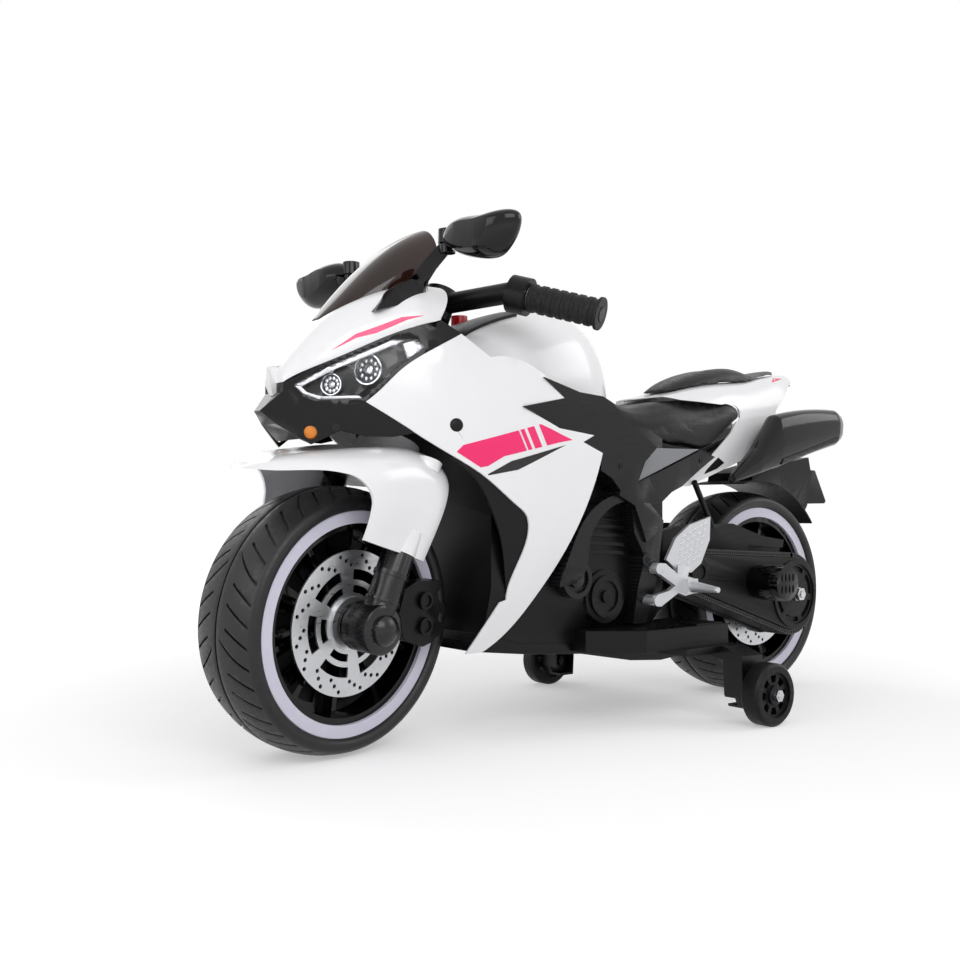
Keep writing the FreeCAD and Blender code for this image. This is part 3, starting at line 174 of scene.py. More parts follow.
# Enamel on steel runs a little at the welds, which the eye takes as a slow wave in a satin shine.
frame_enamel = moulded("satin_black_enamel", "#070708", "#0C0C0D", 0.34, 2.5, 0.06, Specular_IOR_Level=0.3)
battery_abs = moulded("battery_case_abs", "#18191B", "#202124", 0.5, 0.9, 0.12)
dressed("main_frame", frame_enamel, 0.0)
dressed("battery", battery_abs)
dressed("control_box", battery_abs)

# Engine casing and belly pan: two deep injection mouldings in black ABS, screwed together round the frame.
# The mould was spark eroded, so the skin has a fine matt grain that breaks the shine.
satin_abs = moulded("satin_black_abs", "#050506", "#09090B", 0.40, 0.8, 0.10, Specular_IOR_Level=0.22)
for core in ("engine_casing", "belly_pan"):
    dressed(core, satin_abs)

# Swing arms, shock boot and drive case: glass filled nylon mouldings. The arms bolt to the casing, the ribbed
# boot imitates a spring, and the case shuts the gear train in, with a chain moulded round its edge.
grained_nylon = moulded("black_filled_nylon", "#060607", "#0C0C0D", 0.46, 0.5, 0.16, Specular_IOR_Level=0.22)
for arm in ("swing_arms", "shock_absorber", "drive_cover"):
    dressed(arm, grained_nylon)
# The slot in each arm is backed by a thin web of the same moulding.
ARM_WEB = [(-34, 245), (8, 247), (61, 251), (61, 235), (-31, 235)]
ARM_WEB_Y = (64.0, 67.0)


def belt(bm, one, other):
    """Joins two rings of corners with a closed strip of faces."""
    for i in range(len(one)):
        j = (i + 1) % len(one)
        bm.faces.new((one[i], one[j], other[j], other[i]))


bm = bmesh.new()
for sign in (1, -1):
    inner, outer = [[bm.verts.new(row(x, sign * y, z)) for x, z in ARM_WEB] for y in ARM_WEB_Y]
    bm.faces.new(inner)
    bm.faces.new(outer)
    belt(bm, inner, outer)
bmesh.ops.recalc_face_normals(bm, faces=bm.faces)
settle(grown("swing_arm_webs", bm), [grained_nylon], "chassis")
# The case is drawn round two circles, each with its middle and radius, and the chain runs just inside its edge.
CASE_BIG = (0.0, 170.0, 68.0)
CASE_SMALL = (236.0, 214.0, 36.0)
CASE_LEDGE_Y = 112.0
LINK_PITCH, LINK_INSET, LINK_LIFT = 9.6, 4.5, 1.2
ARC_STEPS = 60


def baked(piece):
    """Turns what a piece's modifiers make into its own plain mesh."""
    mesh = bpy.data.meshes.new_from_object(piece.evaluated_get(bpy.context.evaluated_depsgraph_get()))
    piece.modifiers.clear()
    piece.data = mesh
    return mesh


def stamped(name, spots, aims, runs, stamp, sizes, material, body):
    """Geometry Nodes set one stamp on every spot, its Z along the spot's aim and its X along the run."""
    mesh = bpy.data.meshes.new(name)
    mesh.from_pydata([tuple(p) for p in spots], [], [])
    for word, vectors in (("aim", aims), ("run", runs)):
        layer = mesh.attributes.new(word, "FLOAT_VECTOR", "POINT")
        layer.data.foreach_set("vector", [c for v in vectors for c in v])
    piece = bpy.data.objects.new(name, mesh)
    bpy.context.collection.objects.link(piece)
    tree = bpy.data.node_groups.new(name, "GeometryNodeTree")
    tree.interface.new_socket("Geometry", in_out="INPUT", socket_type="NodeSocketGeometry")
    tree.interface.new_socket("Geometry", in_out="OUTPUT", socket_type="NodeSocketGeometry")
    named = {}
    for word in sizes:
        named[word] = tree.interface.new_socket(word, in_out="INPUT", socket_type="NodeSocketFloat")
    entry = add(tree, "NodeGroupInput").outputs
    shape = stamp(tree, entry)
    aim = add(tree, "GeometryNodeInputNamedAttribute", data_type="FLOAT_VECTOR", Name="aim")
    run = add(tree, "GeometryNodeInputNamedAttribute", data_type="FLOAT_VECTOR", Name="run")
    stand = add(tree, "FunctionNodeAlignRotationToVector", [(aim.outputs["Attribute"], "Vector")], axis="Z")
    turn = add(tree, "FunctionNodeAlignRotationToVector",
               [(stand.outputs["Rotation"], "Rotation"), (run.outputs["Attribute"], "Vector")],
               axis="X", pivot_axis="Z")
    put = add(tree, "GeometryNodeInstanceOnPoints",
              [(entry["Geometry"], "Points"), (shape, "Instance"), (turn.outputs["Rotation"], "Rotation")])
    whole = add(tree, "GeometryNodeRealizeInstances", [(put.outputs["Instances"], "Geometry")])
    paint = add(tree, "GeometryNodeSetMaterial", [(whole.outputs["Geometry"], "Geometry")], Material=material)
    add(tree, "NodeGroupOutput", [(paint.outputs["Geometry"], "Geometry")])
    modifier = piece.modifiers.new("stamp", "NODES")
    modifier.node_group = tree
    for word, value in sizes.items():
        modifier[named[word].identifier] = value
    baked(piece)
    return settle(piece, [], body)


def link_stamp(tree, size):
    """One outer link: two round cheeks and the waist that joins them."""
    cheek = add(tree, "GeometryNodeMeshCylinder", [(size["Cheek"], "Radius"), (size["Height"], "Depth")],
                Vertices=14)
    parts = []
    for share in (0.25, -0.25):
        end = add(tree, "ShaderNodeMath", [(size["Pitch"], 0)], operation="MULTIPLY")
        end.inputs[1].default_value = share
        shift = add(tree, "ShaderNodeCombineXYZ", [(end.outputs[0], "X")])
        moved = add(tree, "GeometryNodeTransform",
                    [(cheek.outputs["Mesh"], "Geometry"), (shift.outputs[0], "Translation")])
        parts.append(moved.outputs["Geometry"])
    span = add(tree, "ShaderNodeCombineXYZ",
               [(size["Pitch"], "X"), (size["Cheek"], "Y"), (size["Height"], "Z")])
    waist = add(tree, "GeometryNodeMeshCube", [(span.outputs[0], "Size")])
    slim = add(tree, "GeometryNodeTransform", [(waist.outputs["Mesh"], "Geometry")], Scale=(0.5, 1.0, 0.8))
    return add(tree, "GeometryNodeJoinGeometry",
               [(p, "Geometry") for p in parts + [slim.outputs["Geometry"]]]).outputs["Geometry"]


chain_black = moulded("moulded_chain_black", "#0C0C0E", "#151517", 0.3, 0.8, 0.08, Specular_IOR_Level=0.5)
chain_spots, chain_runs = [], []
reach = math.hypot(CASE_SMALL[0] - CASE_BIG[0], CASE_SMALL[1] - CASE_BIG[1])
tilt = math.atan2(CASE_SMALL[1] - CASE_BIG[1], CASE_SMALL[0] - CASE_BIG[0])
lean = math.acos((CASE_BIG[2] - CASE_SMALL[2]) / reach)
path = []
for (cx, cz, r), start, stop in ((CASE_BIG, tilt + lean, tilt - lean + 2 * math.pi),
                                 (CASE_SMALL, tilt - lean, tilt + lean)):
    for i in range(ARC_STEPS + 1):
        a = start + (stop - start) * i / ARC_STEPS
        path.append(Vector((cx + (r - LINK_INSET) * math.cos(a), 0.0, cz + (r - LINK_INSET) * math.sin(a))))
path.append(path[0])
carry = 0.0
for a, b in zip(path, path[1:]):
    length = (b - a).length
    while carry < length:
        spot = a + (b - a) * (carry / length)
        chain_spots.append(row(spot.x, CASE_LEDGE_Y + LINK_LIFT, spot.z))
        chain_runs.append((b - a).normalized())
        carry += LINK_PITCH
    carry -= length
stamped("drive_chain_links", chain_spots, [(0, 1, 0)] * len(chain_spots), chain_runs, link_stamp,
        {"Pitch": LINK_PITCH / 1000, "Cheek": 0.0037, "Height": 0.0030}, chain_black, "chassis")

# Motor, gears and axle: a lacquered steel can with a vented end cap, natural nylon gears, a sintered pinion
# and a zinc plated axle with double nuts.
gloss_abs = moulded("gloss_black_abs", "#030304", "#060607", 0.14, 4.0, 0.015, 0.04, Specular_IOR_Level=0.32)
zinc = moulded("zinc_plated_steel", "#B4B5B8", "#CFD0D2", 0.26, 1.0, 0.05, 0.1, 25.0, Metallic=1.0)
natural_nylon = moulded("natural_nylon", "#DAD6C6", "#E4E1D4", 0.45, 1.0, 0.05)
dressed("motor", gloss_abs, 0.0012)
dressed("motor_pinion", zinc, 0.0)
for wheel in ("wheel_gear", "idler_gear"):
    dressed(wheel, natural_nylon, 0.0)
dressed("rear_axle", zinc, 0.0005)
MOTOR_AT = (97.0, 178.0, 194.0)
VENT_COLUMNS, VENT_LINES = (-14.0, -4.7, 4.7, 14.0), (-9.0, 9.0)


def slot_stamp(tree, size):
    """A pressed oblong: a long pill, flattened onto the face."""
    ball = add(tree, "GeometryNodeMeshUVSphere", [(size["Half width"], "Radius")], Segments=16, Rings=8)
    ratio = add(tree, "ShaderNodeMath", [(size["Half length"], 0), (size["Half width"], 1)],
                operation="DIVIDE")
    flat = add(tree, "ShaderNodeMath", [(size["Rise"], 0), (size["Half width"], 1)], operation="DIVIDE")
    shape = add(tree, "ShaderNodeCombineXYZ", [(ratio.outputs[0], "X"), (flat.outputs[0], "Z")], Y=1.0)
    return add(tree, "GeometryNodeTransform",
               [(ball.outputs["Mesh"], "Geometry"), (shape.outputs[0], "Scale")]).outputs["Geometry"]


vent_dark = moulded("vent_shadow", "#020202", "#040404", 0.8, 1.0, 0.1, Specular_IOR_Level=0.1)
vent_spots = []
for column in VENT_COLUMNS:
    for line in VENT_LINES:
        vent_spots.append(row(MOTOR_AT[0] + column, MOTOR_AT[1], MOTOR_AT[2] + line))
stamped("motor_vents", vent_spots, [(0, 1, 0)] * len(vent_spots), [(0, 0, 1)] * len(vent_spots), slot_stamp,
        {"Half length": 0.0066, "Half width": 0.0025, "Rise": 0.0006}, vent_dark, "chassis")

# Wheels: blow moulded tyres in hard black rubber-like plastic on black rims, with a pale light ring and a
# plated plastic disc. The rim is shut behind its windows by a black dish.
tyre_rubber = moulded("moulded_tyre", "#121213", "#1B1B1D", 0.44, 0.9, 0.16, 0.08, 40.0,
                      Specular_IOR_Level=0.4)
light_ring = moulded("light_ring_polypropylene", "#D3D0E2", "#DEDCEA", 0.34, 2.0, 0.03, Subsurface_Weight=0.1,
                     Subsurface_Scale=0.004)
# A wave texture of scale 1 repeats every 0.314 m.
WAVE_MM = 314.16
# The dish as radius and distance from the wheel's middle, in millimetres.
DISH = ((30.0, 3.0), (112.0, 3.0), (119.0, 6.0), (119.0, -6.0), (112.0, -3.0), (30.0, -3.0))
DISH_STEPS = 72


def turned_plate(name, colour, second, rough, centre, axis, ring_mm):
    """Plated plastic whose mould was turned: fine rings round the axle catch the light."""
    material = moulded(name, colour, second, rough, 0.7, 0.05, 0.08, 30.0, Metallic=0.9)
    tree = material.node_tree
    where = add(tree, "ShaderNodeTexCoord").outputs["Object"]
    centred = add(tree, "ShaderNodeMapping", [(where, "Vector")], vector_type="TEXTURE", Location=centre,
                  Rotation=axis)
    rings = add(tree, "ShaderNodeTexWave", [(centred.outputs[0], "Vector")], wave_type="RINGS",
                rings_direction="Y", Scale=WAVE_MM / ring_mm, Distortion=0.4, Detail=1.0)
    bump = add(tree, "ShaderNodeBump", [(rings.outputs["Fac"], "Height")], Strength=0.25, Distance=0.0002)
    tree.links.new(bump.outputs["Normal"], tree.nodes["Principled BSDF"].inputs["Normal"])
    return material


def middle(node):
    low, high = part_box(node)
    return Vector([(a + b) / 2.0 for a, b in zip(low, high)])


def circle(bm, centre, across, up, radius_mm, steps):
    """A ring of corners round a centre, in the plane of two directions."""
    ring = []
    for i in range(steps):
        t = 2 * math.pi * i / steps
        ring.append(bm.verts.new(centre + (across * math.cos(t) + up * math.sin(t)) * radius_mm / 1000))
    return ring


# The steered end leans back by its caster and stands turned a little to the left, as photographed.
STEER, CASTER = math.radians(10.6), math.radians(22.0)
steer_axis = Vector((-math.sin(CASTER), 0.0, math.cos(CASTER)))
for end, disc in (("front", "front_brake_discs"), ("rear", "rear_brake_disc")):
    hub = middle(end + "_rim")
    twist = (0.0, 0.0, STEER if end == "front" else 0.0)
    dressed(end + "_tyre", tyre_rubber, 0.0005)
    dressed(end + "_rim", gloss_abs)
    dressed(end + "_light_rings", light_ring)
    plated_disc = turned_plate(end + "_plated_disc", "#BFC0C3", "#D2D3D5", 0.34, hub, twist, 1.6)
    dressed(disc, plated_disc, 0.0004)
    if end == "rear":
        bm = merged(disc)
        bmesh.ops.scale(bm, vec=(1.0, -1.0, 1.0), verts=bm.verts)
        bmesh.ops.reverse_faces(bm, faces=bm.faces)
        settle(grown("rear_disc_near", bm), [plated_disc], "rear_wheel", None, 0.0004)
    axle = Vector((0.0, 1.0, 0.0))
    axle.rotate(Quaternion(steer_axis, twist[2]))
    ahead = axle.cross(Vector((0.0, 0.0, 1.0))).normalized()
    up = ahead.cross(axle).normalized()
    bm = bmesh.new()
    rings = [circle(bm, hub + axle * out / 1000, ahead, up, radius, DISH_STEPS) for radius, out in DISH]
    for one, other in zip(rings, rings[1:] + rings[:1]):
        belt(bm, one, other)
    bmesh.ops.recalc_face_normals(bm, faces=bm.faces)
    settle(grown(end + "_rim_dish", bm), [satin_abs], end + "_wheel")

# Fork, fender and brakes: black fork tubes and stem, a caliper moulding behind each leg, and one gloss white
# moulding for the fender and the guards that run down over the legs.
# Gloss ABS straight from a polished mould: near white, a hard clear shine and the faintest ripple.
white_abs = moulded("gloss_white_abs", "#F2F2F4", "#F6F6F8", 0.2, 7.0, 0.012, 0.05, 90.0, Coat_Weight=0.25,
                    Coat_Roughness=0.06)
# The tubes are satin enamel, so that a broad soft light runs down each of them.
tube_enamel = moulded("satin_black_tube", "#08080A", "#0D0D0F", 0.27, 2.0, 0.03, 0.04,
                      Specular_IOR_Level=0.45)
dressed("fork_legs", tube_enamel)
dressed("front_fender", white_abs)
# The sleeve as height up the leg and distance from its middle, in millimetres, and degrees to each side.
SLEEVE = ((97.6, 21.05), (97.6, 21.6), (128.6, 21.6), (131.0, 16.6), (131.0, 16.1), (128.4, 21.05))
SLEEVE_TURN, SLEEVE_STEPS = 98.0, 32
LEG_Y = 84.0


def steered(x, y, z):
    """A point drawn in millimetres from the front axle, with the steering axis upright, in its place."""
    lean_x = x * math.cos(CASTER) - z * math.sin(CASTER)
    lean_z = x * math.sin(CASTER) + z * math.cos(CASTER)
    spot = Vector((lean_x, y, lean_z)) / 1000.0
    spot.rotate(Quaternion(steer_axis, STEER))
    return middle("front_rim") + spot


# Where a leg stands close under its guard, the guard bulges round it in a half sleeve.
bm = bmesh.new()
for sign in (1, -1):
    columns = []
    for i in range(SLEEVE_STEPS + 1):
        t = math.radians(-SLEEVE_TURN + 2 * SLEEVE_TURN * i / SLEEVE_STEPS)
        columns.append([bm.verts.new(steered(r * math.sin(t), sign * (LEG_Y + r * math.cos(t)), z))
                        for z, r in SLEEVE])
    for one, other in zip(columns, columns[1:]):
        belt(bm, one, other)
    bm.faces.new(columns[0])
    bm.faces.new(list(reversed(columns[-1])))
bmesh.ops.recalc_face_normals(bm, faces=bm.faces)
settle(grown("guard_sleeves", bm), [white_abs], "steering")
dressed("brake_calipers", satin_abs)
dressed("steering_stem", frame_enamel)
dressed("front_axle", zinc, 0.0004)

# Bars: a black moulded clamp and arms, collared switch pods, soft ribbed grips and a red horn button.
# Grip rubber is dull, with a cross hatch of raised leaves about 5 mm long pressed into it.
LEAF_MM = 5.263
grip_rubber = moulded("grip_rubber", "#0A0A0A", "#111111", 0.55, 0.7, 0.15, Specular_IOR_Level=0.3)
grip_tree = grip_rubber.node_tree
grip_where = add(grip_tree, "ShaderNodeTexCoord").outputs["Object"]
leaves = add(grip_tree, "ShaderNodeTexVoronoi", [(grip_where, "Vector")], feature="DISTANCE_TO_EDGE",
             Scale=1000.0 / LEAF_MM)
leaf_bump = add(grip_tree, "ShaderNodeBump", [(leaves.outputs["Distance"], "Height")], Strength=0.5,
                Distance=0.001)
grip_tree.links.new(leaf_bump.outputs["Normal"], grip_tree.nodes["Principled BSDF"].inputs["Normal"])
red_abs = moulded("gloss_red_abs", "#A80E18", "#B81420", 0.25, 2.0, 0.03)
dressed("handlebar", satin_abs)
dressed("switch_pods", satin_abs, 0.0012)
dressed("grips", grip_rubber, 0.001)
dressed("horn_button", red_abs)
# A collar shuts the inner end of each grip, given as radius and distance along the bar, in millimetres.
BAR_IN, BAR_OUT = (-8.0, 118.0, 470.0), (-58.0, 240.0, 459.0)
COLLAR = ((10.2, 30.2), (15.6, 30.2), (16.6, 31.0), (16.6, 32.0), (15.6, 32.8), (10.2, 32.8))
COLLAR_STEPS = 40
bm = bmesh.new()
for sign in (1, -1):
    root, tip = [steered(x, sign * y, z) for x, y, z in (BAR_IN, BAR_OUT)]
    axis = (tip - root).normalized()
    across = axis.cross(Vector((0.0, 0.0, 1.0))).normalized()
    up = across.cross(axis)
    rings = [circle(bm, root + axis * out / 1000, across, up, radius, COLLAR_STEPS) for radius, out in COLLAR]
    for one, other in zip(rings, rings[1:] + rings[:1]):
        belt(bm, one, other)
bmesh.ops.recalc_face_normals(bm, faces=bm.faces)
settle(grown("grip_collars", bm), [zinc], "steering")

# Side fairings and ducts: thin gloss white shells over black duct liners, screwed to the casing. Printed film
# in bright pink and black is laid on each side before the panel is fitted.
SIDES = (("left", 1), ("right", -1))
for side, sign in SIDES:
    dressed("side_fairing_" + side, white_abs)
dressed("inner_ducts", satin_abs)
pink_film = moulded("gloss_pink_film", "#F5186A", "#FF2274", 0.22, 1.2, 0.02, Coat_Weight=0.2)
black_film = moulded("gloss_black_film", "#0A0A0B", "#101012", 0.24, 1.2, 0.02)
FLASH = [(694, 382), (685, 391), (569, 422), (551, 416), (532, 409), (514, 403), (537, 399), (627, 378),
         (650, 365), (661, 363)]
# Gaps in the flash, each from and to an X at floor level, and its slant.
FLASH_GAPS = ((362, 371, 0.5), (384, 389, 0.5), (396, 399, 0.5))
FLASH_LINE = [(655, 352), (633, 356), (616, 372), (526, 396), (605, 361)]


# A film is cut every 6 mm, so that it bends with the panel. Lines drawn in from the side start 0.4 m out.
FILM_GRID, FILM_START = 6, 4
SIDE_OUT = 0.4


def skin_of(node):
    mesh = frame["nodes"][node].data
    return BVHTree.FromPolygons([v.co for v in mesh.vertices], [p.vertices for p in mesh.polygons])


def struck(skin, spot, sign):
    """Where a line drawn in from one side meets a skin, and the normal there."""
    return skin.ray_cast(Vector((spot.x, sign * SIDE_OUT, spot.z)), Vector((0, -sign, 0)))[:2]


def laid(name, node, corners, side, material, lift=0.3, slashes=(), deep=0.0):
    """A film or strip cut to a flat outline in X and Z and laid along Y on the outer face of a solid."""
    bm = bmesh.new()
    sheet = bm.faces.new([bm.verts.new(row(x, 0.0, z)) for x, z in corners])
    bmesh.ops.triangulate(bm, faces=[sheet])
    xs, zs = [c[0] for c in corners], [c[1] for c in corners]
    cuts = [(row(x, 0, 0), (1, 0, 0)) for x in range(int(min(xs)) + FILM_START, int(max(xs)), FILM_GRID)]
    cuts += [(row(0, 0, z), (0, 0, 1)) for z in range(int(min(zs)) + FILM_START, int(max(zs)), FILM_GRID)]
    for first, last, tilted in slashes:
        cuts += [(row(first, 0, 0), (1, 0, -tilted)), (row(last, 0, 0), (1, 0, -tilted))]
    for point, normal in cuts:
        bmesh.ops.bisect_plane(bm, geom=bm.verts[:] + bm.edges[:] + bm.faces[:], plane_co=point,
                               plane_no=normal)
    gone = []
    for face in bm.faces:
        spot = face.calc_center_median()
        across = (spot.x - rear_axle_x) * 1000
        if any(first < across - tilted * spot.z * 1000 < last for first, last, tilted in slashes):
            gone.append(face)
    bmesh.ops.delete(bm, geom=gone, context="FACES")
    skin = skin_of(node)
    stray = []
    for vert in bm.verts:
        hit, normal = struck(skin, vert.co, side)
        if hit is None:
            stray.append(vert)
        else:
            vert.co = hit + normal * lift / 1000.0
    bmesh.ops.delete(bm, geom=stray, context="VERTS")
    bm.normal_update()
    turned = [face for face in bm.faces if face.normal.y * side < 0]
    bmesh.ops.reverse_faces(bm, faces=turned)
    piece = grown(name, bm)
    if deep:
        wall = piece.modifiers.new("wall", "SOLIDIFY")
        wall.thickness = deep / 1000.0
        wall.offset = -1.0
    return settle(piece, [material], body_of(node), None, 0.0, 60.0)


for side, sign in SIDES:
    panel = "side_fairing_" + side
    laid("flash_" + side, panel, FLASH, sign, pink_film, 0.3, FLASH_GAPS)
    laid("flash_line_" + side, panel, FLASH_LINE, sign, black_film)

# Nose: the white upper cowl with its small fin, drawn thin towards both ends for the mould, and the black V
# shaped chin that holds the two indicators. A slim pink film follows the cowl's crease on each side.
cowl = dressed("upper_cowl", white_abs)
FIN_HALF, FIN_BACK_X = 7.0, 876.0
FIN_WAIST_Z, FIN_REACH, FIN_TIP = 460.0, 28.0, 0.2
for corner in cowl.data.vertices:
    on_side_face = abs(abs(corner.co.y) * 1000 - FIN_HALF) < 0.05
    if on_side_face and (corner.co.x - rear_axle_x) * 1000 > FIN_BACK_X:
        away = abs(corner.co.z * 1000 - FIN_WAIST_Z) / FIN_REACH
        corner.co.y *= max(1.0 - (1.0 - FIN_TIP) * away, FIN_TIP)
dressed("chin", gloss_abs)
COWL_FLASH = [(840, 504), (812, 521), (789, 528), (751, 547), (729, 554), (758, 550), (784, 538), (812, 526)]
for side, sign in SIDES:
    laid("cowl_flash_" + side, "upper_cowl", COWL_FLASH, sign, pink_film, 0.4)

# Windscreen: a bubble blown from dark smoked acrylic and set into the cowl. It lets a little brown light
# through at the edges and mirrors the room.
smoke = moulded("smoked_acrylic", "#2A1510", "#331A13", 0.05, 40.0, 0.0, 0.02, Transmission_Weight=0.45,
                IOR=1.49)
dressed("windscreen", smoke, 0.0004)

# Headlights: black housings with a silver light guide round the top and the tip, two plated projector lamps
# a side and a clear polycarbonate lens over the lot. Amber indicators sit in the chin.
clear = moulded("clear_polycarbonate", "#FFFFFF", "#FDFDFF", 0.03, 40.0, 0.0, 0.01, Transmission_Weight=1.0,
                IOR=1.25)
plated = moulded("plated_reflector", "#D5D6DA", "#E2E3E6", 0.14, 2.0, 0.03, 0.04, 20.0, Metallic=1.0)
dark_dish = moulded("smoked_reflector", "#2A2B2E", "#3C3D41", 0.2, 2.0, 0.03, 0.04, 20.0, Metallic=1.0)
guide = moulded("frosted_light_guide", "#D9DADF", "#ECEDF1", 0.3, 1.5, 0.08, Metallic=0.55)
amber = moulded("amber_lens", "#F08417", "#F79A2E", 0.15, 3.0, 0.1)
dressed("headlight_housings", gloss_abs)
dressed("headlight_lenses", clear, 0.0003)
dressed("indicators", amber)
GUIDE_TOP = [(878, 462), (841, 486), (769, 521), (756, 521), (766, 516), (838, 481), (871, 460)]
GUIDE_LOW = [(878, 461), (869, 450), (851, 444), (806, 447), (811, 450), (850, 448), (865, 453), (871, 460)]
GUIDE_CORNER = [(757, 517), (739, 523), (732, 513), (752, 498)]
GUIDE_LIFT, GUIDE_DEEP = -2.6, 5.0
# Each lamp has the foot and the tip of its axis and its radius. The bowl is turned to a profile of shares of
# that radius against depth from the tip. The floor of the bowl is dark, and a ring of beads stands in it.
LAMPS = (((819, 33.4, 464), (835, 45.4, 464), 14.0), ((774, 53, 484), (794, 64, 484), 20.0))
LAMP_PROFILE = ((1.0, -14.0), (1.0, -0.6), (0.97, 0.0), (0.90, 0.0), (0.86, -1.5), (0.84, -5.0),
                (0.30, -6.0), (0.28, -3.6), (0.16, -2.0))
LAMP_TIP, LAMP_STEPS, DARK_BAND = -1.6, 36, 5
BEADS, BEAD_DEPTH, BEAD_CIRCLE = 10, 4.8, 0.58
bead_spots, bead_aims = [], []
bm = bmesh.new()
for near, far, radius in LAMPS:
    for sign in (1, -1):
        base, tip = [row(x, sign * y, z) for x, y, z in (near, far)]
        axis = (tip - base).normalized()
        across = axis.cross(Vector((0.0, 0.0, 1.0))).normalized()
        up = across.cross(axis)
        rings = [circle(bm, tip + axis * out / 1000, across, up, radius * share, LAMP_STEPS)
                 for share, out in LAMP_PROFILE]
        for one, other in zip(rings, rings[1:]):
            belt(bm, one, other)
        crown = bm.verts.new(tip + axis * LAMP_TIP / 1000)
        for i in range(LAMP_STEPS):
            bm.faces.new((rings[-1][i], rings[-1][(i + 1) % LAMP_STEPS], crown))
        bm.faces.new(list(reversed(rings[0])))
        for i in range(BEADS):
            t = 2 * math.pi * i / BEADS
            aside = (across * math.cos(t) + up * math.sin(t)) * radius * BEAD_CIRCLE
            bead_spots.append(tip + (aside - axis * BEAD_DEPTH) / 1000)
            bead_aims.append(axis)
bmesh.ops.recalc_face_normals(bm, faces=bm.faces)
projectors = settle(grown("projector_lamps", bm), [plated, dark_dish], "chassis", "headlamps")
for face in projectors.data.polygons:
    band = face.index % (len(LAMP_PROFILE) * LAMP_STEPS + 1) // LAMP_STEPS
    face.material_index = int(band == DARK_BAND)
stamped("lamp_beads", bead_spots, bead_aims, [(0, 0, 1)] * len(bead_spots), slot_stamp,
        {"Half length": 0.0032, "Half width": 0.0026, "Rise": 0.0026}, plated, "chassis")
for side, sign in SIDES:
    for word, corners in (("top", GUIDE_TOP), ("low", GUIDE_LOW), ("corner", GUIDE_CORNER)):
        laid("light_guide_%s_%s" % (word, side), "headlight_lenses", corners, sign, guide,
             GUIDE_LIFT, (), GUIDE_DEEP)

# Tank and dash: a hollow gloss white shell, blown in one piece and screwed to the frame. The black dash is let
# into its top, and the red start button slides in a cup in the dash.
dressed("tank_cover", white_abs)
dressed("dash_panel", satin_abs)
dressed("power_button", red_abs)

# Frame covers and side panels: black spar mouldings under a carbon look film, and a grey panel under the seat
# printed with fine slanted pinstripes 2.4 mm apart.


def striped(name, colour, line, rough, pitch_mm, turn, **shader):
    """A film with fine parallel lines, which shimmer as the light runs across them."""
    material = moulded(name, colour, colour, rough, 1.0, 0.04, **shader)
    tree = material.node_tree
    where = add(tree, "ShaderNodeTexCoord").outputs["Object"]
    tilted = add(tree, "ShaderNodeMapping", [(where, "Vector")], Rotation=(0.0, turn, 0.0))
    lines = add(tree, "ShaderNodeTexWave", [(tilted.outputs[0], "Vector")], wave_type="BANDS",
                bands_direction="X", Scale=WAVE_MM / pitch_mm, Distortion=0.0)
    tone = add(tree, "ShaderNodeMix", [(lines.outputs["Fac"], "Factor")], data_type="RGBA")
    tone.inputs[6].default_value = linear(colour)
    tone.inputs[7].default_value = linear(line)
    skin = tree.nodes["Principled BSDF"]
    tree.links.new(tone.outputs[2], skin.inputs["Base Color"])
    bump = add(tree, "ShaderNodeBump", [(lines.outputs["Fac"], "Height")], Strength=0.2, Distance=0.0003)
    tree.links.new(bump.outputs["Normal"], skin.inputs["Normal"])
    return material


carbon_film = striped("carbon_look_film", "#070708", "#1A1B1D", 0.3, 3.4, 0.9, Specular_IOR_Level=0.26)
pinstripe = striped("grey_pinstripe_film", "#4E4F52", "#A3A4A8", 0.38, 2.4, 0.5, Metallic=0.3)
dressed("frame_covers", carbon_film, 0.0018)
dressed("seat_side_panels", pinstripe)

# Seat and pillion pad: black leatherette drawn over foam, stapled under its edge. The cover swells between its
# edges, so each pad is blown up as cloth from a slightly smaller shape and its base is held.
# Leatherette has pebbles about 2 mm across with darker valleys and a soft, uneven shine.


def leatherette(name, colour, second, rough):
    material = moulded(name, colour, second, rough, 0.5, 0.1, 0.1, 25.0, Specular_IOR_Level=0.35)
    tree = material.node_tree
    where = add(tree, "ShaderNodeTexCoord").outputs["Object"]
    warp = add(tree, "ShaderNodeTexNoise", [(where, "Vector")], Scale=260.0, Detail=2.0)
    pebble = add(tree, "ShaderNodeTexVoronoi", [(where, "Vector")], feature="SMOOTH_F1", Scale=480.0)
    mixed = add(tree, "ShaderNodeMath", [(pebble.outputs["Distance"], 0), (warp.outputs["Fac"], 1)],
                operation="SUBTRACT")
    bump = add(tree, "ShaderNodeBump", [(mixed.outputs[0], "Height")], Strength=0.35, Distance=0.0006)
    bump.invert = True
    tree.links.new(bump.outputs["Normal"], tree.nodes["Principled BSDF"].inputs["Normal"])
    return material


black_leather = leatherette("black_leatherette", "#0B0B0C", "#131314", 0.46)
grey_leather = leatherette("grey_leatherette", "#4A4B4E", "#56575A", 0.5)


PAD_NET = 0.005
PAD_BASE = -0.35
PAD_PRESSURE, PAD_FRAMES = 4.0, 20
PAD_SLACK, PAD_CAP = 2.5, 5.0


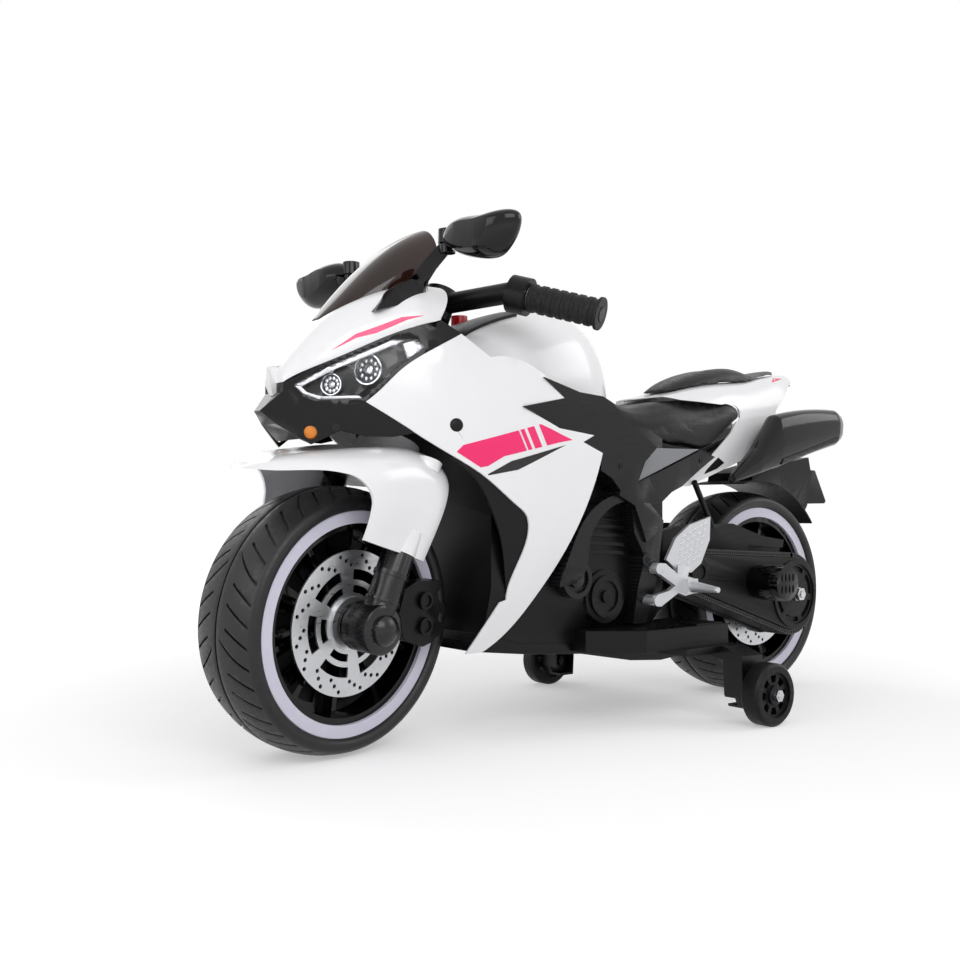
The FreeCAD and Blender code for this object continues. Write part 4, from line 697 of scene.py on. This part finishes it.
def stuffed(node, slack_mm, cap_mm):
    """The pad as sewn cloth: remeshed, drawn in, blown up against its held base, then smoothed once."""
    piece = grown(node + "_cushion", merged(node))
    net = piece.modifiers.new("net", "REMESH")
    net.mode = "VOXEL"
    net.voxel_size = PAD_NET
    mesh = baked(piece)
    drawn = [v.co - v.normal * slack_mm / 1000.0 for v in mesh.vertices]
    held = [v.index for v in mesh.vertices if v.normal.z < PAD_BASE]
    mesh.vertices.foreach_set("co", [c for v in drawn for c in v])
    mesh.update()
    base = piece.vertex_groups.new(name="base")
    base.add(held, 1.0, "REPLACE")
    cloth = piece.modifiers.new("cloth", "CLOTH")
    cloth.settings.use_pressure = True
    cloth.settings.uniform_pressure_force = PAD_PRESSURE
    cloth.settings.effector_weights.gravity = 0.0
    cloth.settings.vertex_group_mass = "base"
    for step in range(1, PAD_FRAMES + 1):
        bpy.context.scene.frame_set(step)
    shown = piece.evaluated_get(bpy.context.evaluated_depsgraph_get())
    blown = shown.to_mesh()
    full = []
    for start, vert in zip(drawn, blown.vertices):
        move = vert.co - start
        full.append(start + move * min(1.0, cap_mm / 1000.0 / max(move.length, 1e-9)))
    shown.to_mesh_clear()
    piece.modifiers.clear()
    mesh.vertices.foreach_set("co", [c for v in full for c in v])
    mesh.update()
    bpy.context.scene.frame_set(1)
    finer = piece.modifiers.new("finer", "SUBSURF")
    finer.levels = 1
    finer.render_levels = 1
    baked(piece)
    piece.vertex_groups.clear()
    return piece


saddle = settle(stuffed("seat", PAD_SLACK, PAD_CAP), [black_leather], "chassis", "seat", 0.0,
                70.0)
pillion = settle(stuffed("pillion_pad", PAD_SLACK, PAD_CAP), [black_leather, grey_leather], "chassis",
                 "pillion_pad", 0.0, 70.0)
# The tail end of the pad is sewn from grey stuff.
GREY_FROM_X = 2.0
for face in pillion.data.polygons:
    face.material_index = int(face.center.x < row(GREY_FROM_X, 0, 0).x)

# Tail: a gloss white shell in one piece, dropped over the rear stay and screwed from below. A red lamp lens is
# let into its end, and a small pink film sits on each flank.
red_lens = moulded("red_lamp_lens", "#7E0808", "#9A0C0C", 0.12, 3.0, 0.15)
dressed("tail_cowl", white_abs)
dressed("tail_lamp", red_lens)
TAIL_FLASH = [(-35, 528), (-74, 538), (-50, 537)]
for side, sign in SIDES:
    laid("tail_flash_" + side, "tail_cowl", TAIL_FLASH, sign, pink_film)

# Mufflers and mudguard: hollow gloss black silencers with a grey end cap, hung on a stay through the tail, and
# a black mudguard with its bare plate.
end_cap = moulded("grey_end_cap_abs", "#6E7074", "#808286", 0.3, 1.2, 0.06, Metallic=0.4)
END_CAP_X = -111.5
dressed("mufflers", gloss_abs, 0.0012, end_cap, lambda x, y, z: x < END_CAP_X)
dressed("rear_mudguard", satin_abs)
MUFFLER_RAIL = [(48, 382), (-108, 426), (-108, 433), (46, 391)]
RAIL_LIFT, RAIL_DEEP = 1.6, 2.6
for side, sign in SIDES:
    laid("muffler_rail_" + side, "mufflers", MUFFLER_RAIL, sign, satin_abs, RAIL_LIFT, (),
         RAIL_DEEP)

# Foot gear: silver painted peg brackets with a ribbed heel plate, and black foot boards with the pedal.
# Silver paint holds fine flakes, so it is bright but soft.
silver_paint = moulded("silver_painted_abs", "#C6C7CA", "#CFD0D3", 0.36, 1.0, 0.0, 0.02, 90.0, Metallic=0.6)
dressed("peg_brackets", silver_paint)
dressed("foot_boards", satin_abs, 0.002)
dressed("accelerator_pedal", satin_abs)
# Raised dashes stand in slanted lines on the heel plate, clear of its two slanting edges.
HEEL_Y = 131.0
DASH_LINES, DASHES = 6, 5
DASH_X, DASH_Z = 236.0, 288.0
DASH_RUN = Vector((0.9, 0, -0.42)).normalized()


def on_heel(x, z):
    return 226 + (298 - z) * 0.12 < x < 318 - abs(z - 240) * 0.62


dash_spots = []
for line in range(DASH_LINES):
    for place in range(DASHES):
        x = DASH_X + 12.0 * place + 3.0 * line
        z = DASH_Z - 10.0 * line - 4.6 * place
        if on_heel(x, z):
            dash_spots.append((x, z))
for side, sign in SIDES:
    spots = [row(x, sign * HEEL_Y, z) for x, z in dash_spots]
    stamped("heel_grip_" + side, spots, [(0, sign, 0)] * len(spots), [DASH_RUN] * len(spots), slot_stamp,
            {"Half length": 0.0052, "Half width": 0.0019, "Rise": 0.0017}, silver_paint, "chassis")

# Stabilisers: black nylon wheels that run free on zinc plated bolts, carried by painted steel arms, which are
# bolted under the foot boards.
for side, sign in SIDES:
    dressed("training_wheel_" + side, grained_nylon, 0.0009)
BOLT_FROM_Y = 253.0
dressed("training_arms", frame_enamel, 0.0007, zinc, lambda x, y, z: abs(y) > BOLT_FROM_Y)

# Mirrors: gloss black housings on moulded stalks, with a flat silvered plate let into the rider's side.
# The plate is cut to the housing's outline, a little smaller, and its edge is ground round.
mirror_plate = moulded("silvered_acrylic_plate", "#B4B8BD", "#BEC2C6", 0.05, 30.0, 0.0, 0.01, Metallic=1.0)
# The outline holds Y and Z, and each ring of the plate an X and a share of the outline.
PLATE_OUTLINE = [(121, 648), (130, 660), (170, 667), (214, 662), (253, 652), (251, 639), (239, 623),
                 (222, 612), (186, 613), (155, 622), (131, 634)]
PLATE_MIDDLE = (190.0, 640.0)
PLATE_RINGS = [(699.1, 0.80), (698.0, 0.80), (697.6, 0.78)]
PLATE_STEPS = 6


def rounded(corners, steps):
    """A closed smooth line through the corners."""
    line = []
    for i in range(len(corners)):
        before, start, end, after = [Vector(corners[(i + k) % len(corners)]) for k in (-1, 0, 1, 2)]
        for step in range(steps):
            t = step / steps
            bend = 2 * before - 5 * start + 4 * end - after
            line.append(0.5 * (2 * start + (end - before) * t + bend * t * t
                               + (3 * start - before - 3 * end + after) * t ** 3))
    return line


for side, sign in SIDES:
    dressed("mirror_" + side, gloss_abs, 0.001)
    bm = bmesh.new()
    rings = []
    for x, share in PLATE_RINGS:
        rings.append([bm.verts.new(row(x, sign * (PLATE_MIDDLE[0] + (y - PLATE_MIDDLE[0]) * share),
                                       PLATE_MIDDLE[1] + (z - PLATE_MIDDLE[1]) * share))
                      for y, z in rounded(PLATE_OUTLINE, PLATE_STEPS)])
    for one, other in zip(rings, rings[1:]):
        belt(bm, one, other)
    for rim in (rings[0], rings[-1]):
        bm.faces.new(rim)
    bmesh.ops.recalc_face_normals(bm, faces=bm.faces)
    housing = "mirror_" + side
    settle(grown("mirror_plate_" + side, bm), [mirror_plate], body_of(housing))
dressed("mirror_stalks", gloss_abs)

# Screws and plugs: cross head screws in black zinc hold the trim, and round plugs shut the holes that the
# screwdriver went through.
TRIM_SCREWS = (("chin", 835, 410), ("frame_covers", 420, 370), ("frame_covers", 215, 384),
               ("frame_covers", 359, 237))
PLUG_X, PLUG_Z, PLUG_RIM = 694, 416, 11


def screw_stamp(tree, size):
    """A cheese head with a cross recess."""
    head = add(tree, "GeometryNodeMeshCylinder", [(size["Head"], "Radius"), (size["Height"], "Depth")],
               Vertices=20)
    long = add(tree, "ShaderNodeMath", [(size["Head"], 0)], operation="MULTIPLY")
    long.inputs[1].default_value = 1.3
    thin = add(tree, "ShaderNodeMath", [(size["Head"], 0)], operation="MULTIPLY")
    thin.inputs[1].default_value = 0.28
    bars = []
    for a, b in ((long, thin), (thin, long)):
        span = add(tree, "ShaderNodeCombineXYZ",
                   [(a.outputs[0], "X"), (b.outputs[0], "Y"), (size["Height"], "Z")])
        bar = add(tree, "GeometryNodeMeshCube", [(span.outputs[0], "Size")])
        rise = add(tree, "ShaderNodeCombineXYZ", [(thin.outputs[0], "Z")])
        bars.append(add(tree, "GeometryNodeTransform",
                        [(bar.outputs["Mesh"], "Geometry"), (rise.outputs[0], "Translation")]))
    cut = add(tree, "GeometryNodeMeshBoolean", [(head.outputs["Mesh"], "Mesh 1")], operation="DIFFERENCE")
    for bar in bars:
        tree.links.new(bar.outputs["Geometry"], cut.inputs["Mesh 2"])
    return cut.outputs["Mesh"]


black_zinc = moulded("black_zinc_screw", "#1C1C1E", "#28282A", 0.3, 1.0, 0.05, Metallic=0.6)
trim_spots = []
for sign in (1, -1):
    for node, x, z in TRIM_SCREWS:
        trim_spots.append(struck(skin_of(node), row(x, 0, z), sign))
stamped("trim_screws", [s[0] for s in trim_spots], [s[1] for s in trim_spots], [(1, 0, 0)] * len(trim_spots),
        screw_stamp, {"Head": 0.0042, "Height": 0.0020}, black_zinc, "chassis")
plug_spots, plug_aims = [], []
for side, sign in SIDES:
    skin = skin_of("side_fairing_" + side)
    rim_spots = [struck(skin, row(PLUG_X + dx, 0, PLUG_Z + dz), sign)
                 for dx, dz in ((PLUG_RIM, 0), (-PLUG_RIM, 0), (0, PLUG_RIM), (0, -PLUG_RIM))]
    plug_spots.append(sum((s[0] for s in rim_spots), Vector()) / len(rim_spots))
    plug_aims.append(sum((s[1] for s in rim_spots), Vector()).normalized())
stamped("fairing_plugs", plug_spots, plug_aims, [(1, 0, 0)] * len(SIDES), slot_stamp,
        {"Half length": 0.0092, "Half width": 0.0088, "Rise": 0.0022}, satin_abs, "chassis")

# Studio: a white paper floor that runs into a white room, four softboxes, and the camera where the picture was
# taken. Near the object the paper glows less, so that the shadow at the wheels stays dark.
FLOOR_HALF = 12.0
GLOW_NEAR, GLOW_FAR = (0.6, 0.36), (2.8, 0.78)
ROOM_LIGHT, ROOM_SEEN = 0.46, 1.0


def seen_rays(tree):
    """One for the rays by which the camera, a shiny piece or a clear piece sees the backdrop, else nothing."""
    rays = add(tree, "ShaderNodeLightPath").outputs
    seen = rays["Is Camera Ray"]
    for kind in ("Is Glossy Ray", "Is Transmission Ray"):
        seen = add(tree, "ShaderNodeMath", [(seen, 0), (rays[kind], 1)], operation="MAXIMUM").outputs[0]
    return seen


bm = bmesh.new()
bmesh.ops.create_grid(bm, x_segments=8, y_segments=8, size=FLOOR_HALF)
floor = grown("studio_floor", bm)
paper = bpy.data.materials.new("studio_paper")
paper.use_nodes = True
roll = paper.node_tree
sheen = roll.nodes["Principled BSDF"]
sheen.inputs["Base Color"].default_value = linear("#E4E4E5")
sheen.inputs["Roughness"].default_value = 0.9
sheen.inputs["Specular IOR Level"].default_value = 0.0
where = add(roll, "ShaderNodeTexCoord").outputs["Object"]
away = add(roll, "ShaderNodeVectorMath", [(where, 0)], operation="LENGTH")
fade = add(roll, "ShaderNodeMapRange", [(away.outputs["Value"], "Value")], From_Min=GLOW_NEAR[0],
           From_Max=GLOW_FAR[0], To_Min=GLOW_NEAR[1], To_Max=GLOW_FAR[1])
lift = add(roll, "ShaderNodeMath", [(seen_rays(roll), 0), (fade.outputs["Result"], 1)], operation="MULTIPLY")
glow = add(roll, "ShaderNodeEmission", [(lift.outputs[0], "Strength")])
both = add(roll, "ShaderNodeAddShader", [(sheen.outputs[0], 0), (glow.outputs[0], 1)])
roll.links.new(both.outputs[0], roll.nodes["Material Output"].inputs["Surface"])
floor.data.materials.append(paper)

world = bpy.context.scene.world or bpy.data.worlds.new("studio")
bpy.context.scene.world = world
world.use_nodes = True
room = world.node_tree
level = add(room, "ShaderNodeMapRange", [(seen_rays(room), "Value")], To_Min=ROOM_LIGHT, To_Max=ROOM_SEEN)
back = room.nodes["Background"]
room.links.new(level.outputs["Result"], back.inputs["Strength"])
back.inputs["Color"].default_value = (1.0, 1.0, 1.0, 1.0)

for name, place, aim, size, power in (
        ("key_softbox", (1.0, 2.1, 1.6), (0.05, 0.0, 0.3), (1.8, 1.3), 24.0),
        ("front_softbox", (2.6, 0.2, 1.2), (0.3, 0.0, 0.3), (1.4, 1.4), 13.0),
        ("rear_softbox", (-1.8, 1.2, 1.5), (-0.2, 0.0, 0.3), (1.4, 1.0), 10.0),
        ("far_softbox", (0.2, -2.2, 1.8), (0.0, 0.0, 0.3), (1.8, 1.2), 9.0)):
    lamp = bpy.data.lights.new(name, "AREA")
    lamp.shape = "RECTANGLE"
    lamp.size, lamp.size_y = size
    lamp.energy = power
    holder = bpy.data.objects.new(name, lamp)
    holder.location = place
    holder.rotation_euler = (Vector(aim) - Vector(place)).to_track_quat("-Z", "Y").to_euler()
    bpy.context.collection.objects.link(holder)

yaw, pitch = math.radians(231.888), math.radians(1.494)
lens = bpy.data.cameras.new("photo_camera")
lens.sensor_width = 36.0
lens.lens = 40.5
camera = bpy.data.objects.new("photo_camera", lens)
camera.location = (1.1213, 1.206, 0.311)
look = Vector((math.cos(yaw) * math.cos(pitch), math.sin(yaw) * math.cos(pitch), math.sin(pitch)))
camera.rotation_euler = look.to_track_quat("-Z", "Y").to_euler()
bpy.context.collection.objects.link(camera)
bpy.context.scene.camera = camera
bpy.context.scene.view_settings.view_transform = "Standard"
